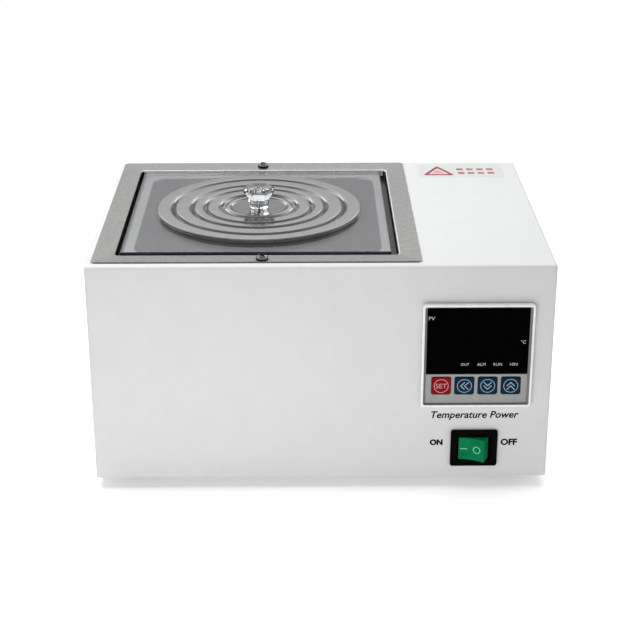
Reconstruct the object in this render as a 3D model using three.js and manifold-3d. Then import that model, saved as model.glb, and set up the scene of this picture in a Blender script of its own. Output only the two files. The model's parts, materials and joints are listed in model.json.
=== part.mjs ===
// A bench-top water bath: a sheet-steel housing on rubber feet, a pressed stainless tank with an
// immersion heater and a perforated shelf, a clear cover plate with a stack of concentric
// reducing rings, a panel temperature controller with four keys, and an illuminated rocker switch.
// Millimetres. +X is the right-hand side, -Y the front, +Z up, z = 0 the bench under the feet.

import * as THREE from 'three';
import { RoundedBoxGeometry } from 'three/addons/geometries/RoundedBoxGeometry.js';
import { mergeVertices } from 'three/addons/utils/BufferGeometryUtils.js';
import Module from 'manifold-3d';

const wasm = await Module();
wasm.setup();

// --- Driving dimensions -----------------------------------------------------------------------

const GAP = 0.3; // between two pieces that meet inside a turned group
const REACH = 5; // how far a cutter runs past the surface that it opens
const MERGE = 1e-4; // vertices closer than this are one vertex
const HOLE_SIDES = 12;

const housing = {
  width: 300,
  depth: 225,
  height: 150,
  sheet: 1.2,
  bend: 2, // outside radius of the folded edges
  rearFlange: 14, // the rear panel is screwed to this flange
  panelMargin: 4, // from the housing's outline to the rear panel's edge
  baseLip: 9, // height of the base plate's turned-up edge
};

const vents = { count: 5, width: 4, length: 44, pitch: 11, x: 106, y: 8 }; // in the base plate

const foot = {
  height: 8,
  radius: 8,
  taper: 1,
  inset: 25,
  headPocket: 4.5,
  pocketPlay: 0.6, // around the screw's head
  screwGrip: 4, // of the screw above the base plate
  segments: 16,
};
const m4 = { shaft: 2, hole: 2.3, head: 4, headHeight: 2.6, length: 8 };
const m3 = { shaft: 1.45, hole: 1.7, head: 3, headHeight: 1.8, length: 8, shortLength: 6 };

const tank = {
  x: -41, // centre of the tank, off the housing's centre to leave room for the controls
  y: -0.5,
  sheet: 1,
  flange: 211, // outside width of the rim that lies on the housing
  flangeDepth: 215,
  flangeShift: 2, // of the rim's middle behind the tank's centre
  flangeCorner: 3,
  opening: 188, // square opening in the housing under the rim
  recess: 183, // pocket that holds the cover plate
  recessCorner: 4,
  ledge: -5.7, // height of the ledge under the cover plate, from the housing's top
  well: 161.5, // inside width of the tank below the ledge
  wellCorner: 12,
  wellDepth: 110, // below the ledge
  screws: { front: [3.5, -100], rear: [-0.5, 100.5] }, // rim screws, from the tank's centre
};

const insulation = { thickness: 14, top: -9, fit: 0.5, windowWidth: 96, windowHeight: 26 };

const shelf = {
  width: 156,
  corner: 10,
  sheet: 1,
  height: 23, // above the tank's floor
  skirt: 16,
  skirtWidth: 120,
  skirtInset: 1.2,
  holes: 4, // holes along one side of the grid
  holePitch: 30,
  holeRadius: 6,
};

const heater = {
  radius: 4,
  legSpacing: 60, // between the two legs of the hairpin
  height: 13.5, // above the tank's floor
  reach: 100, // from the tank's right-hand wall to the start of the bend
  tail: 20, // outside the wall
  steps: 44,
  sides: 10,
};

const probe = { radius: 2, length: 48, tail: 16, nose: 0.7 }; // nose: tip radius over radius
const gland = { width: 16, height: 7, sides: 6 };

const cover = {
  x: -1.1, // from the tank's centre
  y: 2.9,
  width: 176,
  corner: 3,
  thickness: 5,
  holeRadius: 61.3,
};

const ring = {
  radii: [71, 58, 45, 35.5], // outside radius of each reducing ring
  sheet: 0.8,
  top: 2.9, // height of the flush top above the cover plate
  seat: 3.2, // depth of the seat that holds the next ring, below the top
  seatWidth: 3.5,
  hemGap: 0.1, // between a ring's hem and what it rests on
  play: 0.35, // between a ring and the step around it
  shoulder: 2.6, // width of the curved step from the top down to the seat
  edge: 0.5,
  segments: 32,
};

const cap = { radius: 24.5, dish: 19, dishDepth: 1.1, crown: 0.3, stud: 2.2 };
const knob = {
  base: 6.3, // radii of the tapering crystal
  neck: 7.3,
  head: 10.7,
  crown: 8.8,
  height: 14.4,
  neckHeight: 6.6, // heights of the breaks in its taper
  headHeight: 12.2,
  bevelHeight: 13.2,
  facets: 8,
  screwDepth: 8,
};

const controller = {
  x: 100.8,
  z: 96.9,
  width: 72,
  corner: 2,
  innerCorner: 1,
  frame: 1.7, // width of the bezel's border
  proud: 4, // how far the bezel stands out of the front
  faceplate: 2.2,
  faceCorner: 0.6,
  keypadHeight: 21,
  caseWidth: 67,
  caseDepth: 66,
  caseWall: 1.8,
  cutout: 68,
};

const caseSlots = { count: 4, width: 36, height: 3, pitch: 9, deepest: -48 };
const board = {
  width: 60,
  thickness: 1.6,
  z: -6,
  display: [50, 28, 5.2],
  displayY: 12,
  tact: [6, 6, 4.6],
};
const bracket = { border: 4, corner: 3, depth: 9, setback: 10 };

const key = {
  names: ['key_set', 'key_shift', 'key_down', 'key_up'],
  width: 12.3,
  height: 12.2,
  corner: 1.5,
  first: -22.8, // centre of the first key, from the controller's centre
  pitch: 15.1,
  rise: -21.1,
  front: 3.1,
  back: 0.6,
  bevel: 0.4,
};

const rockerSwitch = {
  x: 101.1,
  z: 29.6,
  width: 31,
  height: 26.2,
  corner: 1.5,
  bezel: 2,
  bodyWidth: 28,
  bodyHeight: 21.6,
  bodyDepth: 22,
  well: 13,
};

const rocker = {
  tilt: 18.5, // degrees from the middle to either end position
  halfChord: 8.5, // from the middle to the tip of the face
  tipHeight: 6.8, // of the tips above the pivot
  taper: 1.45, // how much wider the rocker is at its foot
  flank: 8, // depth of the end faces
  foot: 4.5, // depth of the flat underside below the pivot
  halfFoot: 5.1, // half width of the underside
  pivot: -1.7, // height of the pivot from the housing's front
  height: 15.9,
  play: 0.35,
};

const inlet = {
  x: 100,
  z: 48,
  flangeWidth: 50,
  flangeHeight: 34,
  flange: 3,
  flangeCorner: 5,
  holeCorner: 1, // of the opening in the rear panel
  bodyWidth: 28,
  bodyHeight: 29,
  bodyDepth: 26,
  socket: [24.5, 16.5],
  socketDepth: 16,
  socketRise: 4.4,
  screwSpacing: 40,
  pin: [2, 4],
  pinPitch: 7,
  pinStagger: 2, // the earth pin stands this far above the middle, and the others below it
  pinLength: 28,
  pinSetback: 2, // of the pins' tips behind the rear panel's face
};

const drawer = {
  width: 22,
  height: 6.4,
  depth: 21,
  drop: -10,
  lip: 1.8,
  pullWidth: 11,
  pullHeight: 1.6,
  pullProud: 1.4,
  wall: 1, // around the trough for the fuse
  troughFloor: 1.2,
};
const fuse = { radius: 2.5, length: 18, lift: 0.8 };

const relay = {
  x: 104,
  y: 31.5,
  width: 45,
  depth: 58,
  height: 23,
  earWidth: 10, // fixing ears cut into both ends
  earDepth: 8,
  earHeight: 5,
};
const terminals = {
  x: 104,
  y: -24.5,
  width: 42,
  depth: 20,
  height: 16,
  ways: 4,
  wall: 3, // between two screw wells
  well: 7,
  wellFloor: 6.4,
};
const lead = { power: 1.6, signal: 1.4, steps: 20, gap: 2 }; // gap: from its end to what it feeds

// The bends of each lead between its two ends.
const routes = {
  heaterFront: [[69, -30, 54.8], [86, -27, 51.8], [90, -24.5, 35.5]],
  heaterRear: [[69, 30, 56.8], [92, 26, 55.8], [96, 22, 43.5]],
  probe: [[69, -2, 58.8], [79, -14, 78.9], [86.8, -32, 92.9]],
  supply: [[107, 72, 50], [126, 32, 48], [125.1, -50, 40], [109.1, -76, 31.6]],
  earth: [[102, 75, 56.4], [121, 74, 46], [126, 85, 29.5]],
};

// --- Finishes ---------------------------------------------------------------------------------

const finishes = {
  powderCoat: { color: 0xd9dbd8, roughness: 0.55, metalness: 0 },
  stainless: { color: 0x96989a, roughness: 0.32, metalness: 1 },
  polished: { color: 0xacacae, roughness: 0.14, metalness: 1 },
  zinc: { color: 0xb8b8b4, roughness: 0.35, metalness: 1 },
  brass: { color: 0xb89b52, roughness: 0.35, metalness: 1 },
  rubber: { color: 0x1c1c1e, roughness: 0.9, metalness: 0 },
  acrylic: { color: 0xb9bfdc, roughness: 0.06, metalness: 0, transparent: true, opacity: 0.35 },
  crystal: { color: 0xe8eaee, roughness: 0.04, metalness: 0, transparent: true, opacity: 0.45 },
  wool: { color: 0xd8cfa8, roughness: 1, metalness: 0 },
  bezelWhite: { color: 0xe6e6e4, roughness: 0.35, metalness: 0 },
  panelGrey: { color: 0xa5a5a8, roughness: 0.4, metalness: 0 },
  windowBlack: { color: 0x050505, roughness: 0.12, metalness: 0 },
  keyRed: { color: 0xa0141e, roughness: 0.4, metalness: 0 },
  keyBlue: { color: 0x0f3c5a, roughness: 0.4, metalness: 0 },
  blackPlastic: { color: 0x101011, roughness: 0.45, metalness: 0 },
  greenLens: { color: 0x0a7a48, roughness: 0.2, metalness: 0 },
  circuitBoard: { color: 0x14502c, roughness: 0.5, metalness: 0 },
  ceramic: { color: 0xe4dfd2, roughness: 0.6, metalness: 0 },
  fuseGlass: { color: 0xdfe6e8, roughness: 0.08, metalness: 0 },
  wireRed: { color: 0x8e1b1b, roughness: 0.6, metalness: 0 },
  wireBlue: { color: 0x1d3f86, roughness: 0.6, metalness: 0 },
  wireGrey: { color: 0x8a8c8e, roughness: 0.6, metalness: 0 },
  wireGreen: { color: 0x3f8a2c, roughness: 0.6, metalness: 0 },
};

// --- Shared helpers ---------------------------------------------------------------------------

// A closed geometry as a manifold solid, with its coincident vertices merged.
function solid(geometry) {
  const bare = geometry.clone();
  bare.deleteAttribute('normal');
  bare.deleteAttribute('uv');
  const merged = mergeVertices(bare, MERGE);
  const corners = merged.index.array;
  const triangles = [];
  for (let i = 0; i < corners.length; i += 3) {
    const [a, b, c] = corners.slice(i, i + 3);
    if (a !== b && b !== c && c !== a) triangles.push(a, b, c);
  }
  return new wasm.Manifold(new wasm.Mesh({
    numProp: 3,
    vertProperties: Float32Array.from(merged.attributes.position.array),
    triVerts: Uint32Array.from(triangles),
  }));
}

function geometryOf(manifold) {
  const mesh = manifold.getMesh();
  const geometry = new THREE.BufferGeometry();
  geometry.setAttribute('position', new THREE.BufferAttribute(mesh.vertProperties, 3));
  geometry.setIndex(new THREE.BufferAttribute(mesh.triVerts, 1));
  geometry.computeVertexNormals();
  return geometry;
}

function piece(name, shape, finish, x = 0, y = 0, z = 0) {
  const geometry = shape.isBufferGeometry ? shape : geometryOf(shape);
  const mesh = new THREE.Mesh(geometry, new THREE.MeshStandardMaterial(finishes[finish]));
  mesh.name = name;
  mesh.position.set(x, y, z);
  return mesh;
}

function assembly(x, y, z, ...children) {
  const group = new THREE.Group();
  group.position.set(x, y, z);
  group.add(...children);
  return group;
}

// A box given by its width, depth and height, with its base centred on (x, y, z).
function block(width, depth, height, x = 0, y = 0, z = 0) {
  return solid(new THREE.BoxGeometry(width, depth, height).translate(x, y, z + height / 2));
}

function roundedBlock(width, depth, height, radius, z) {
  const segments = 3;
  const geometry = new RoundedBoxGeometry(width, depth, height, segments, radius);
  return solid(geometry.translate(0, 0, z + height / 2));
}

// An upright cylinder with its base centred on (x, y, z).
function rod(radius, length, x = 0, y = 0, z = 0, segments = 20) {
  const geometry = new THREE.CylinderGeometry(radius, radius, length, segments);
  return solid(geometry.rotateX(Math.PI / 2).translate(x, y, z + length / 2));
}

// A cylinder along +X that starts at (x, y, z).
function crossRod(radius, length, x, y, z, segments = 16) {
  const geometry = new THREE.CylinderGeometry(radius, radius, length, segments);
  return solid(geometry.rotateZ(Math.PI / 2).translate(x + length / 2, y, z));
}

function roundedRectangle(Outline, width, height, radius, x = 0, y = 0) {
  const right = width / 2 - radius;
  const top = height / 2 - radius;
  const outline = new Outline();
  outline.absarc(x + right, y + top, radius, 0, Math.PI / 2);
  outline.absarc(x - right, y + top, radius, Math.PI / 2, Math.PI);
  outline.absarc(x - right, y - top, radius, Math.PI, 1.5 * Math.PI);
  outline.absarc(x + right, y - top, radius, 1.5 * Math.PI, 2 * Math.PI);
  outline.closePath();
  return outline;
}

// A rounded plate from z to z + thickness, with optional holes given as paths.
function plate(width, height, radius, thickness, z = 0, holes = [], curveSegments = 2) {
  const shape = roundedRectangle(THREE.Shape, width, height, radius);
  shape.holes = holes;
  const settings = { depth: thickness, bevelEnabled: false, curveSegments };
  return new THREE.ExtrudeGeometry(shape, settings).translate(0, 0, z);
}

function window(width, height, radius, x = 0, y = 0) {
  return roundedRectangle(THREE.Path, width, height, radius, x, y);
}

// A solid of revolution about Z. The profile is a list of [radius, z], anticlockwise.
function turned(profile, segments, closed = false) {
  const points = profile.map(([radius, z]) => new THREE.Vector2(radius, z));
  if (closed) points.push(points[0].clone());
  return new THREE.LatheGeometry(points, segments).rotateX(Math.PI / 2);
}

// A pan-head screw with its head below z = 0 and its shaft rising to the given length.
function panScrew(size, length, segments = 12) {
  const crown = 0.6 * size.head;
  const shoulder = 0.45 * size.headHeight;
  return turned([
    [0, -size.headHeight],
    [crown, -size.headHeight],
    [size.head, -shoulder],
    [size.head, 0],
    [size.shaft, 0],
    [size.shaft, length],
    [0, length],
  ], segments);
}

function cable(points, radius) {
  const sides = 8;
  const route = new THREE.CatmullRomCurve3(points.map((point) => new THREE.Vector3(...point)));
  const section = new THREE.Shape();
  section.absarc(0, 0, radius, 0, 2 * Math.PI);
  const settings = {
    steps: lead.steps,
    bevelEnabled: false,
    extrudePath: route,
    curveSegments: sides / 2,
  };
  return new THREE.ExtrudeGeometry(section, settings);
}

function join(first, ...others) {
  return others.reduce((total, other) => total.add(other), first);
}

function cut(body, ...cutters) {
  return cutters.reduce((rest, cutter) => rest.subtract(cutter), body);
}

// --- Housing ----------------------------------------------------------------------------------

const TOP = foot.height + housing.height;
const FRONT = -housing.depth / 2;
const REAR = housing.depth / 2;
const PANEL_FACE = REAR + housing.sheet;

const panel = {
  width: housing.width - 2 * housing.panelMargin,
  height: housing.height - 2 * housing.panelMargin,
  screwX: housing.width / 2 - 9,
  screwHeights: [-56, 66], // from the middle of the housing's height
  slots: 5,
  slotPitch: 9,
  slotWidth: 44,
  slotHeight: 3.6,
  slotCorner: 1.6,
  slotRise: 14,
  corner: 3,
};

function outerShell() {
  const { width, depth, height, sheet, bend, rearFlange } = housing;
  const round = roundedBlock(width, depth, height + 2 * bend, bend, -2 * bend);
  const skin = round.intersect(block(width, depth, height));
  const hollow = block(width - 2 * sheet, depth - 2 * sheet, height - sheet + REACH, 0, 0, -REACH);
  const rearOpening = block(
    width - 2 * rearFlange, 4 * sheet, height - rearFlange + REACH, 0, REAR, -REACH,
  );
  const tankOpening = block(
    tank.opening, tank.opening, 4 * sheet, tank.x, tank.y, height - 2 * sheet,
  );
  const controllerOpening = block(
    controller.cutout, 4 * sheet, controller.cutout,
    controller.x, FRONT, controller.z - controller.cutout / 2 - foot.height,
  );
  const switchOpening = block(
    rockerSwitch.bodyWidth + 2 * GAP, 4 * sheet, rockerSwitch.bodyHeight + 2 * GAP,
    rockerSwitch.x, FRONT, rockerSwitch.z - rockerSwitch.bodyHeight / 2 - GAP - foot.height,
  );
  const rimHoles = Object.values(tank.screws).map(([x, y]) => (
    rod(m4.hole, 4 * sheet, tank.x + x, tank.y + y, height - 2 * sheet, HOLE_SIDES)
  ));
  const panelHoles = panelScrews().map(([x, z]) => rearDrill(x, z + height / 2));
  return cut(
    skin, hollow, rearOpening, tankOpening, controllerOpening, switchOpening,
    ...rimHoles, ...panelHoles,
  );
}

// A cutter along Y for a rear screw, through the rear panel and the flange behind it.
function rearDrill(x, z) {
  const length = 8 * housing.sheet;
  const drill = new THREE.CylinderGeometry(m3.hole, m3.hole, length, HOLE_SIDES);
  return solid(drill.translate(x, REAR, z));
}

function panelScrews() {
  const corners = [];
  for (const x of [-panel.screwX, panel.screwX]) {
    for (const z of panel.screwHeights) corners.push([x, z]);
  }
  return corners;
}

// The flat rear cover, drawn in its own plane and stood upright behind the housing.
function rearPanel() {
  const { width, height, corner, slots, slotPitch, slotWidth, slotHeight, slotCorner, slotRise } = panel;
  const inletZ = inlet.z - foot.height - housing.height / 2;
  const openings = [window(
    inlet.bodyWidth + 2 * GAP, inlet.bodyHeight + 2 * GAP, inlet.holeCorner, inlet.x, inletZ,
  )];
  for (let i = 0; i < slots; i += 1) {
    const rise = slotRise + i * slotPitch;
    openings.push(window(slotWidth, slotHeight, slotCorner, inlet.x, rise));
  }
  const upright = plate(width, height, corner, housing.sheet, 0, openings).rotateX(Math.PI / 2);
  const sheet = solid(upright.translate(0, PANEL_FACE, 0));
  const inletHoles = [-1, 1].map((side) => rearDrill(inlet.x + side * inlet.screwSpacing / 2, inletZ));
  return cut(sheet, ...panelScrews().map(([x, z]) => rearDrill(x, z)), ...inletHoles);
}

function basePlate() {
  const width = housing.width - 2 * housing.sheet - 2 * GAP;
  const depth = housing.depth - 2 * housing.sheet - 2 * GAP;
  const tray = cut(
    block(width, depth, housing.baseLip),
    block(width - 2 * housing.sheet, depth - 2 * housing.sheet, housing.baseLip, 0, 0, housing.sheet),
  );
  const through = 3 * housing.sheet;
  const footHoles = footPlaces().map(([x, y]) => (
    rod(m4.hole, through, x, y, -housing.sheet, HOLE_SIDES)
  ));
  const slots = [];
  for (let i = 0; i < vents.count; i += 1) {
    const x = vents.x + (i - (vents.count - 1) / 2) * vents.pitch;
    slots.push(block(vents.width, vents.length, through, x, vents.y, -housing.sheet));
  }
  return cut(tray, ...footHoles, ...slots);
}

function footPlaces() {
  const x = housing.width / 2 - foot.inset;
  const y = housing.depth / 2 - foot.inset;
  return [[-x, -y], [x, -y], [-x, y], [x, y]];
}

// A tapered rubber foot with a pocket for its screw's head.
function rubberFoot() {
  const { height, radius, taper, headPocket, pocketPlay, segments } = foot;
  const pocket = m4.head + pocketPlay;
  return turned([
    [pocket, 0],
    [radius - taper, 0],
    [radius, height],
    [m4.hole, height],
    [m4.hole, headPocket],
    [pocket, headPocket],
  ], segments, true);
}

function makeHousing() {
  const midHeight = housing.height / 2;
  const screws = panelScrews().map(([x, z], i) => {
    const screw = piece(`rear_screw_${i + 1}`, panScrew(m3, m3.shortLength), 'zinc');
    screw.position.set(x, PANEL_FACE + GAP, z + midHeight);
    screw.rotation.x = Math.PI / 2;
    return screw;
  });
  return assembly(
    0, 0, foot.height,
    piece('outer_shell', outerShell(), 'powderCoat'),
    piece('rear_panel', rearPanel(), 'powderCoat', 0, GAP / 3, midHeight),
    piece('base_plate', basePlate(), 'zinc'),
    ...screws,
  );
}

function makeFeet() {
  const shaft = foot.height - foot.headPocket + housing.sheet + foot.screwGrip;
  const feet = footPlaces().flatMap(([x, y], i) => [
    piece(`foot_${i + 1}`, rubberFoot(), 'rubber', x, y, 0),
    piece(`foot_screw_${i + 1}`, panScrew(m4, shaft), 'zinc', x, y, foot.headPocket - GAP / 3),
  ]);
  return assembly(0, 0, 0, ...feet);
}

// --- Tank, insulation, shelf, heater and probe --------------------------------------------------
// Heights here are measured from the housing's top.

const floor = tank.ledge - tank.wellDepth;
const wallX = tank.well / 2 + tank.sheet; // outside of the tank's right-hand wall
const heaterZ = floor + heater.height;
const heaterLegs = [-heater.legSpacing / 2, heater.legSpacing / 2];

// A square well, round at its floor and upright corners, from the given floor up past the ledge.
function wellBlock(width, bottom, top) {
  const radius = tank.wellCorner + (width - tank.well) / 2;
  const height = top - bottom;
  const round = roundedBlock(width, width, height + 2 * radius, radius, bottom);
  return round.intersect(block(width, width, height, 0, 0, bottom));
}

function bathTank() {
  const { sheet, flange, flangeDepth, flangeShift, flangeCorner } = tank;
  const { recess, recessCorner, ledge, well } = tank;
  const pocketDepth = 1.5 * sheet - ledge; // up to the middle of the rim's thickness
  const rim = solid(plate(flange, flangeDepth, flangeCorner, sheet).translate(0, flangeShift, 0));
  const pocket = solid(plate(
    recess + 2 * sheet, recess + 2 * sheet, recessCorner + sheet, pocketDepth, ledge - sheet,
  ));
  const outside = join(rim, pocket, wellBlock(well + 2 * sheet, floor - sheet, ledge - sheet / 2));
  const pocketRoom = solid(plate(recess, recess, recessCorner, pocketDepth + REACH, ledge));
  const wellRoom = wellBlock(well, floor, ledge + REACH);
  const rimHoles = Object.values(tank.screws).map(([x, y]) => (
    rod(m4.hole, 3 * sheet, x, y, -sheet, HOLE_SIDES)
  ));
  const heaterHoles = heaterLegs.map((y) => (
    crossRod(heater.radius + GAP, 3 * REACH, wallX - 2 * REACH, y, heaterZ)
  ));
  const probeHole = crossRod(
    probe.radius + GAP, 3 * REACH, wallX - 2 * REACH, 0, heaterZ, HOLE_SIDES,
  );
  return cut(outside, pocketRoom, wellRoom, ...rimHoles, ...heaterHoles, probeHole);
}

// A jacket around the well, open at the top, with a window for the heater's and probe's tails.
function tankInsulation() {
  const { thickness, top, fit, windowWidth, windowHeight } = insulation;
  const inside = tank.well + 2 * tank.sheet + 2 * fit;
  const outside = inside + 2 * thickness;
  const bottom = floor - tank.sheet - fit;
  const jacket = block(outside, outside, top - bottom + thickness, 0, 0, bottom - thickness);
  const room = block(inside, inside, top - bottom + REACH, 0, 0, bottom);
  const tails = block(
    4 * thickness, windowWidth, windowHeight, outside / 2, 0, heaterZ - windowHeight / 2,
  );
  return cut(jacket, room, tails);
}

// A perforated plate on two turned-down skirts, standing over the heater.
function tankShelf() {
  const { width, corner, sheet, height, skirt, skirtWidth, skirtInset, holes } = shelf;
  const top = floor + height;
  const perforations = [];
  const first = -(holes - 1) / 2 * shelf.holePitch;
  for (let row = 0; row < holes; row += 1) {
    for (let column = 0; column < holes; column += 1) {
      const x = first + column * shelf.holePitch;
      const y = first + row * shelf.holePitch;
      perforations.push(new THREE.Path().absarc(x, y, shelf.holeRadius, 0, 2 * Math.PI));
    }
  }
  const deck = solid(plate(width, width, corner, sheet, top, perforations, 5));
  const skirts = [-1, 1].map((side) => (
    block(skirtWidth, sheet, skirt, 0, side * (width / 2 - skirtInset), top - skirt + sheet / 2)
  ));
  return join(deck, ...skirts);
}

// The centre line of a hairpin: in along one leg, round a half circle and back along the other.
class Hairpin extends THREE.Curve {
  constructor(start, length, radius, z) {
    super();
    Object.assign(this, { start, length, radius, z });
  }

  getPoint(t) {
    const bend = Math.PI * this.radius;
    const along = t * (2 * this.length + bend);
    const end = this.start - this.length;
    if (along <= this.length) return new THREE.Vector3(this.start - along, -this.radius, this.z);
    if (along >= this.length + bend) {
      return new THREE.Vector3(end + along - this.length - bend, this.radius, this.z);
    }
    const angle = (along - this.length) / this.radius;
    const x = end - this.radius * Math.sin(angle);
    return new THREE.Vector3(x, -this.radius * Math.cos(angle), this.z);
  }
}

function immersionHeater() {
  const start = wallX + heater.tail;
  const line = new Hairpin(start, heater.tail + heater.reach, heater.legSpacing / 2, heaterZ);
  const section = new THREE.Shape();
  section.absarc(0, 0, heater.radius, 0, 2 * Math.PI);
  return new THREE.ExtrudeGeometry(section, {
    steps: heater.steps,
    bevelEnabled: false,
    extrudePath: line,
    curveSegments: heater.sides / 2,
  });
}

// A hexagonal nut around a tube that comes through the tank's wall, turned to lie along X.
function glandNut(name, bore, y) {
  const outline = new THREE.Shape();
  for (let i = 0; i < gland.sides; i += 1) {
    const angle = 2 * Math.PI * i / gland.sides;
    const x = gland.width / 2 * Math.cos(angle);
    const height = gland.width / 2 * Math.sin(angle);
    if (i === 0) outline.moveTo(x, height);
    else outline.lineTo(x, height);
  }
  outline.closePath();
  outline.holes.push(new THREE.Path().absarc(0, 0, bore + GAP, 0, 2 * Math.PI));
  const settings = { depth: gland.height, bevelEnabled: false, curveSegments: 6 };
  const nut = piece(name, new THREE.ExtrudeGeometry(outline, settings), 'brass');
  nut.position.set(wallX + GAP, y, heaterZ);
  nut.rotation.y = Math.PI / 2;
  return nut;
}

function temperatureProbe() {
  const { radius, length, tail, nose } = probe;
  const sheath = turned([
    [0, -length],
    [radius * nose, -length + radius * (1 - nose)],
    [radius, -length + radius],
    [radius, tail],
    [0, tail],
  ], HOLE_SIDES);
  return sheath.rotateY(Math.PI / 2);
}

function makeTank() {
  const rimScrews = Object.entries(tank.screws).map(([side, [x, y]]) => {
    const screw = piece(`rim_screw_${side}`, panScrew(m4, m4.length), 'zinc', x, y, tank.sheet + GAP / 3);
    screw.rotation.x = Math.PI;
    return screw;
  });
  return assembly(
    tank.x, tank.y, TOP,
    piece('bath_tank', bathTank(), 'stainless'),
    piece('tank_insulation', tankInsulation(), 'wool'),
    piece('tank_shelf', tankShelf(), 'stainless'),
    piece('immersion_heater', immersionHeater(), 'stainless'),
    glandNut('heater_nut_front', heater.radius, heaterLegs[0]),
    glandNut('heater_nut_rear', heater.radius, heaterLegs[1]),
    piece('temperature_probe', temperatureProbe(), 'stainless', wallX, 0, heaterZ),
    glandNut('probe_nut', probe.radius, 0),
    ...rimScrews,
  );
}

// --- Cover plate, reducing rings, cap and knob --------------------------------------------------

function coverPlate() {
  const sheet = solid(plate(cover.width, cover.width, cover.corner, cover.thickness));
  return cut(sheet, rod(cover.holeRadius, 3 * cover.thickness, 0, 0, -cover.thickness, ring.segments));
}

// A pressed ring, z = 0 on its flush top: a hem outside, and a curved step down to a seat inside.
function reducingRing(radius, nextRadius, hem) {
  const { sheet, seat, seatWidth, play, shoulder, edge, segments } = ring;
  const step = nextRadius + play;
  const hole = nextRadius - seatWidth;
  return turned([
    [radius, -hem],
    [radius, -edge],
    [radius - edge, 0],
    [step + shoulder, 0],
    [step + shoulder / 2, -edge],
    [step, -seat],
    [hole, -seat],
    [hole, -seat - sheet],
    [step + sheet / 2, -seat - sheet],
    [step + shoulder, -sheet],
    [radius - sheet, -sheet],
    [radius - sheet, -hem],
  ], segments, true);
}

function centreCap() {
  const { radius, dish, dishDepth, crown, stud } = cap;
  const { sheet, edge } = ring;
  const hem = ring.seat - ring.hemGap;
  const bandMiddle = (radius + dish) / 2;
  return turned([
    [radius, -hem],
    [radius, -2 * edge],
    [radius - edge, -crown],
    [bandMiddle, 0],
    [dish + edge, -crown],
    [dish, -dishDepth],
    [stud, -dishDepth],
    [stud, -dishDepth - sheet],
    [dish + sheet / 2, -dishDepth - sheet],
    [bandMiddle, -sheet],
    [radius - sheet, -sheet - 2 * edge],
    [radius - sheet, -hem],
  ], ring.segments, true);
}

// A faceted clear knob that widens upwards, with a blind hole for its screw, z = 0 at its base.
function capKnob() {
  const { base, neck, head, crown, height, facets, screwDepth } = knob;
  const { neckHeight, headHeight, bevelHeight } = knob;
  return turned([
    [0, screwDepth],
    [m3.hole, screwDepth],
    [m3.hole, 0],
    [base, 0],
    [neck, neckHeight],
    [head, headHeight],
    [head, bevelHeight],
    [crown, height],
    [0, height],
  ], facets);
}

function makeCover() {
  const top = cover.thickness + ring.top;
  const rings = ring.radii.map((radius, i) => {
    const next = ring.radii[i + 1] ?? cap.radius;
    const hem = i === 0 ? ring.top - ring.hemGap : ring.seat - ring.hemGap;
    return piece(`ring_${i + 1}`, reducingRing(radius, next, hem), 'polished', 0, 0, top);
  });
  const dishTop = top - cap.dishDepth;
  return assembly(
    tank.x + cover.x, tank.y + cover.y, TOP + tank.ledge + ring.hemGap,
    piece('cover_plate', coverPlate(), 'acrylic'),
    ...rings,
    piece('centre_cap', centreCap(), 'polished', 0, 0, top),
    piece('cap_knob', capKnob(), 'crystal', 0, 0, dishTop + ring.hemGap),
    piece('knob_screw', panScrew(m3, knob.screwDepth), 'zinc', 0, 0, dishTop - ring.sheet - ring.hemGap),
  );
}

// --- Panel pieces: local X runs right, local Y up and local Z out of the panel ------------------

function onFront(x, z, ...children) {
  const group = assembly(x, FRONT, z, ...children);
  group.rotation.x = Math.PI / 2;
  return group;
}

function onRear(x, z, ...children) {
  const group = assembly(x, PANEL_FACE + GAP / 3, z, ...children);
  group.rotation.set(Math.PI / 2, Math.PI, 0);
  return group;
}

// --- Temperature controller ---------------------------------------------------------------------

function controllerBezel() {
  const { width, corner, innerCorner, frame, proud } = controller;
  const inside = width - 2 * frame;
  return plate(width, width, corner, proud - GAP, GAP, [window(inside, inside, innerCorner)]);
}

function keyCentres() {
  return key.names.map((name, i) => key.first + i * key.pitch);
}

function controllerPanel() {
  const inside = controller.width - 2 * controller.frame - 2 * GAP;
  const bottom = -inside / 2;
  const middle = bottom + controller.keypadHeight / 2;
  const holes = keyCentres().map((x) => (
    window(key.width + 2 * GAP, key.height + 2 * GAP, key.corner, x, key.rise - middle)
  ));
  const { keypadHeight, faceplate, faceCorner } = controller;
  return plate(inside, keypadHeight, faceCorner, faceplate, GAP, holes).translate(0, middle, 0);
}

function controllerWindow() {
  const inside = controller.width - 2 * controller.frame - 2 * GAP;
  const height = inside - controller.keypadHeight - GAP;
  const middle = inside / 2 - height / 2;
  const { faceplate, faceCorner } = controller;
  return plate(inside, height, faceCorner, faceplate, GAP).translate(0, middle, 0);
}

// A keycap whose edges are rounded by a bevel, from key.back to key.front.
function keycap() {
  const { width, height, corner, bevel, front, back } = key;
  const outline = roundedRectangle(THREE.Shape, width - 2 * bevel, height - 2 * bevel, corner - bevel);
  const geometry = new THREE.ExtrudeGeometry(outline, {
    depth: front - back - 2 * bevel,
    bevelThickness: bevel,
    bevelSize: bevel,
    bevelSegments: 1,
    curveSegments: 1,
  });
  return geometry.translate(0, 0, back + bevel);
}

// The moulded case behind the panel: an open-fronted box with a stepped terminal end.
function controllerCase() {
  const { caseWidth, caseDepth, caseWall } = controller;
  const inner = caseWidth - 2 * caseWall;
  const box = block(caseWidth, caseWidth, caseDepth - GAP, 0, 0, -caseDepth);
  const room = block(inner, inner, caseDepth, 0, 0, -caseDepth + 2 * caseWall);
  const { count, width, height, pitch, deepest } = caseSlots;
  const slots = [];
  for (let i = 0; i < count; i += 1) {
    slots.push(block(width, 2 * caseWidth, height, 0, 0, deepest + i * pitch));
  }
  return cut(box, room, ...slots);
}

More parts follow.
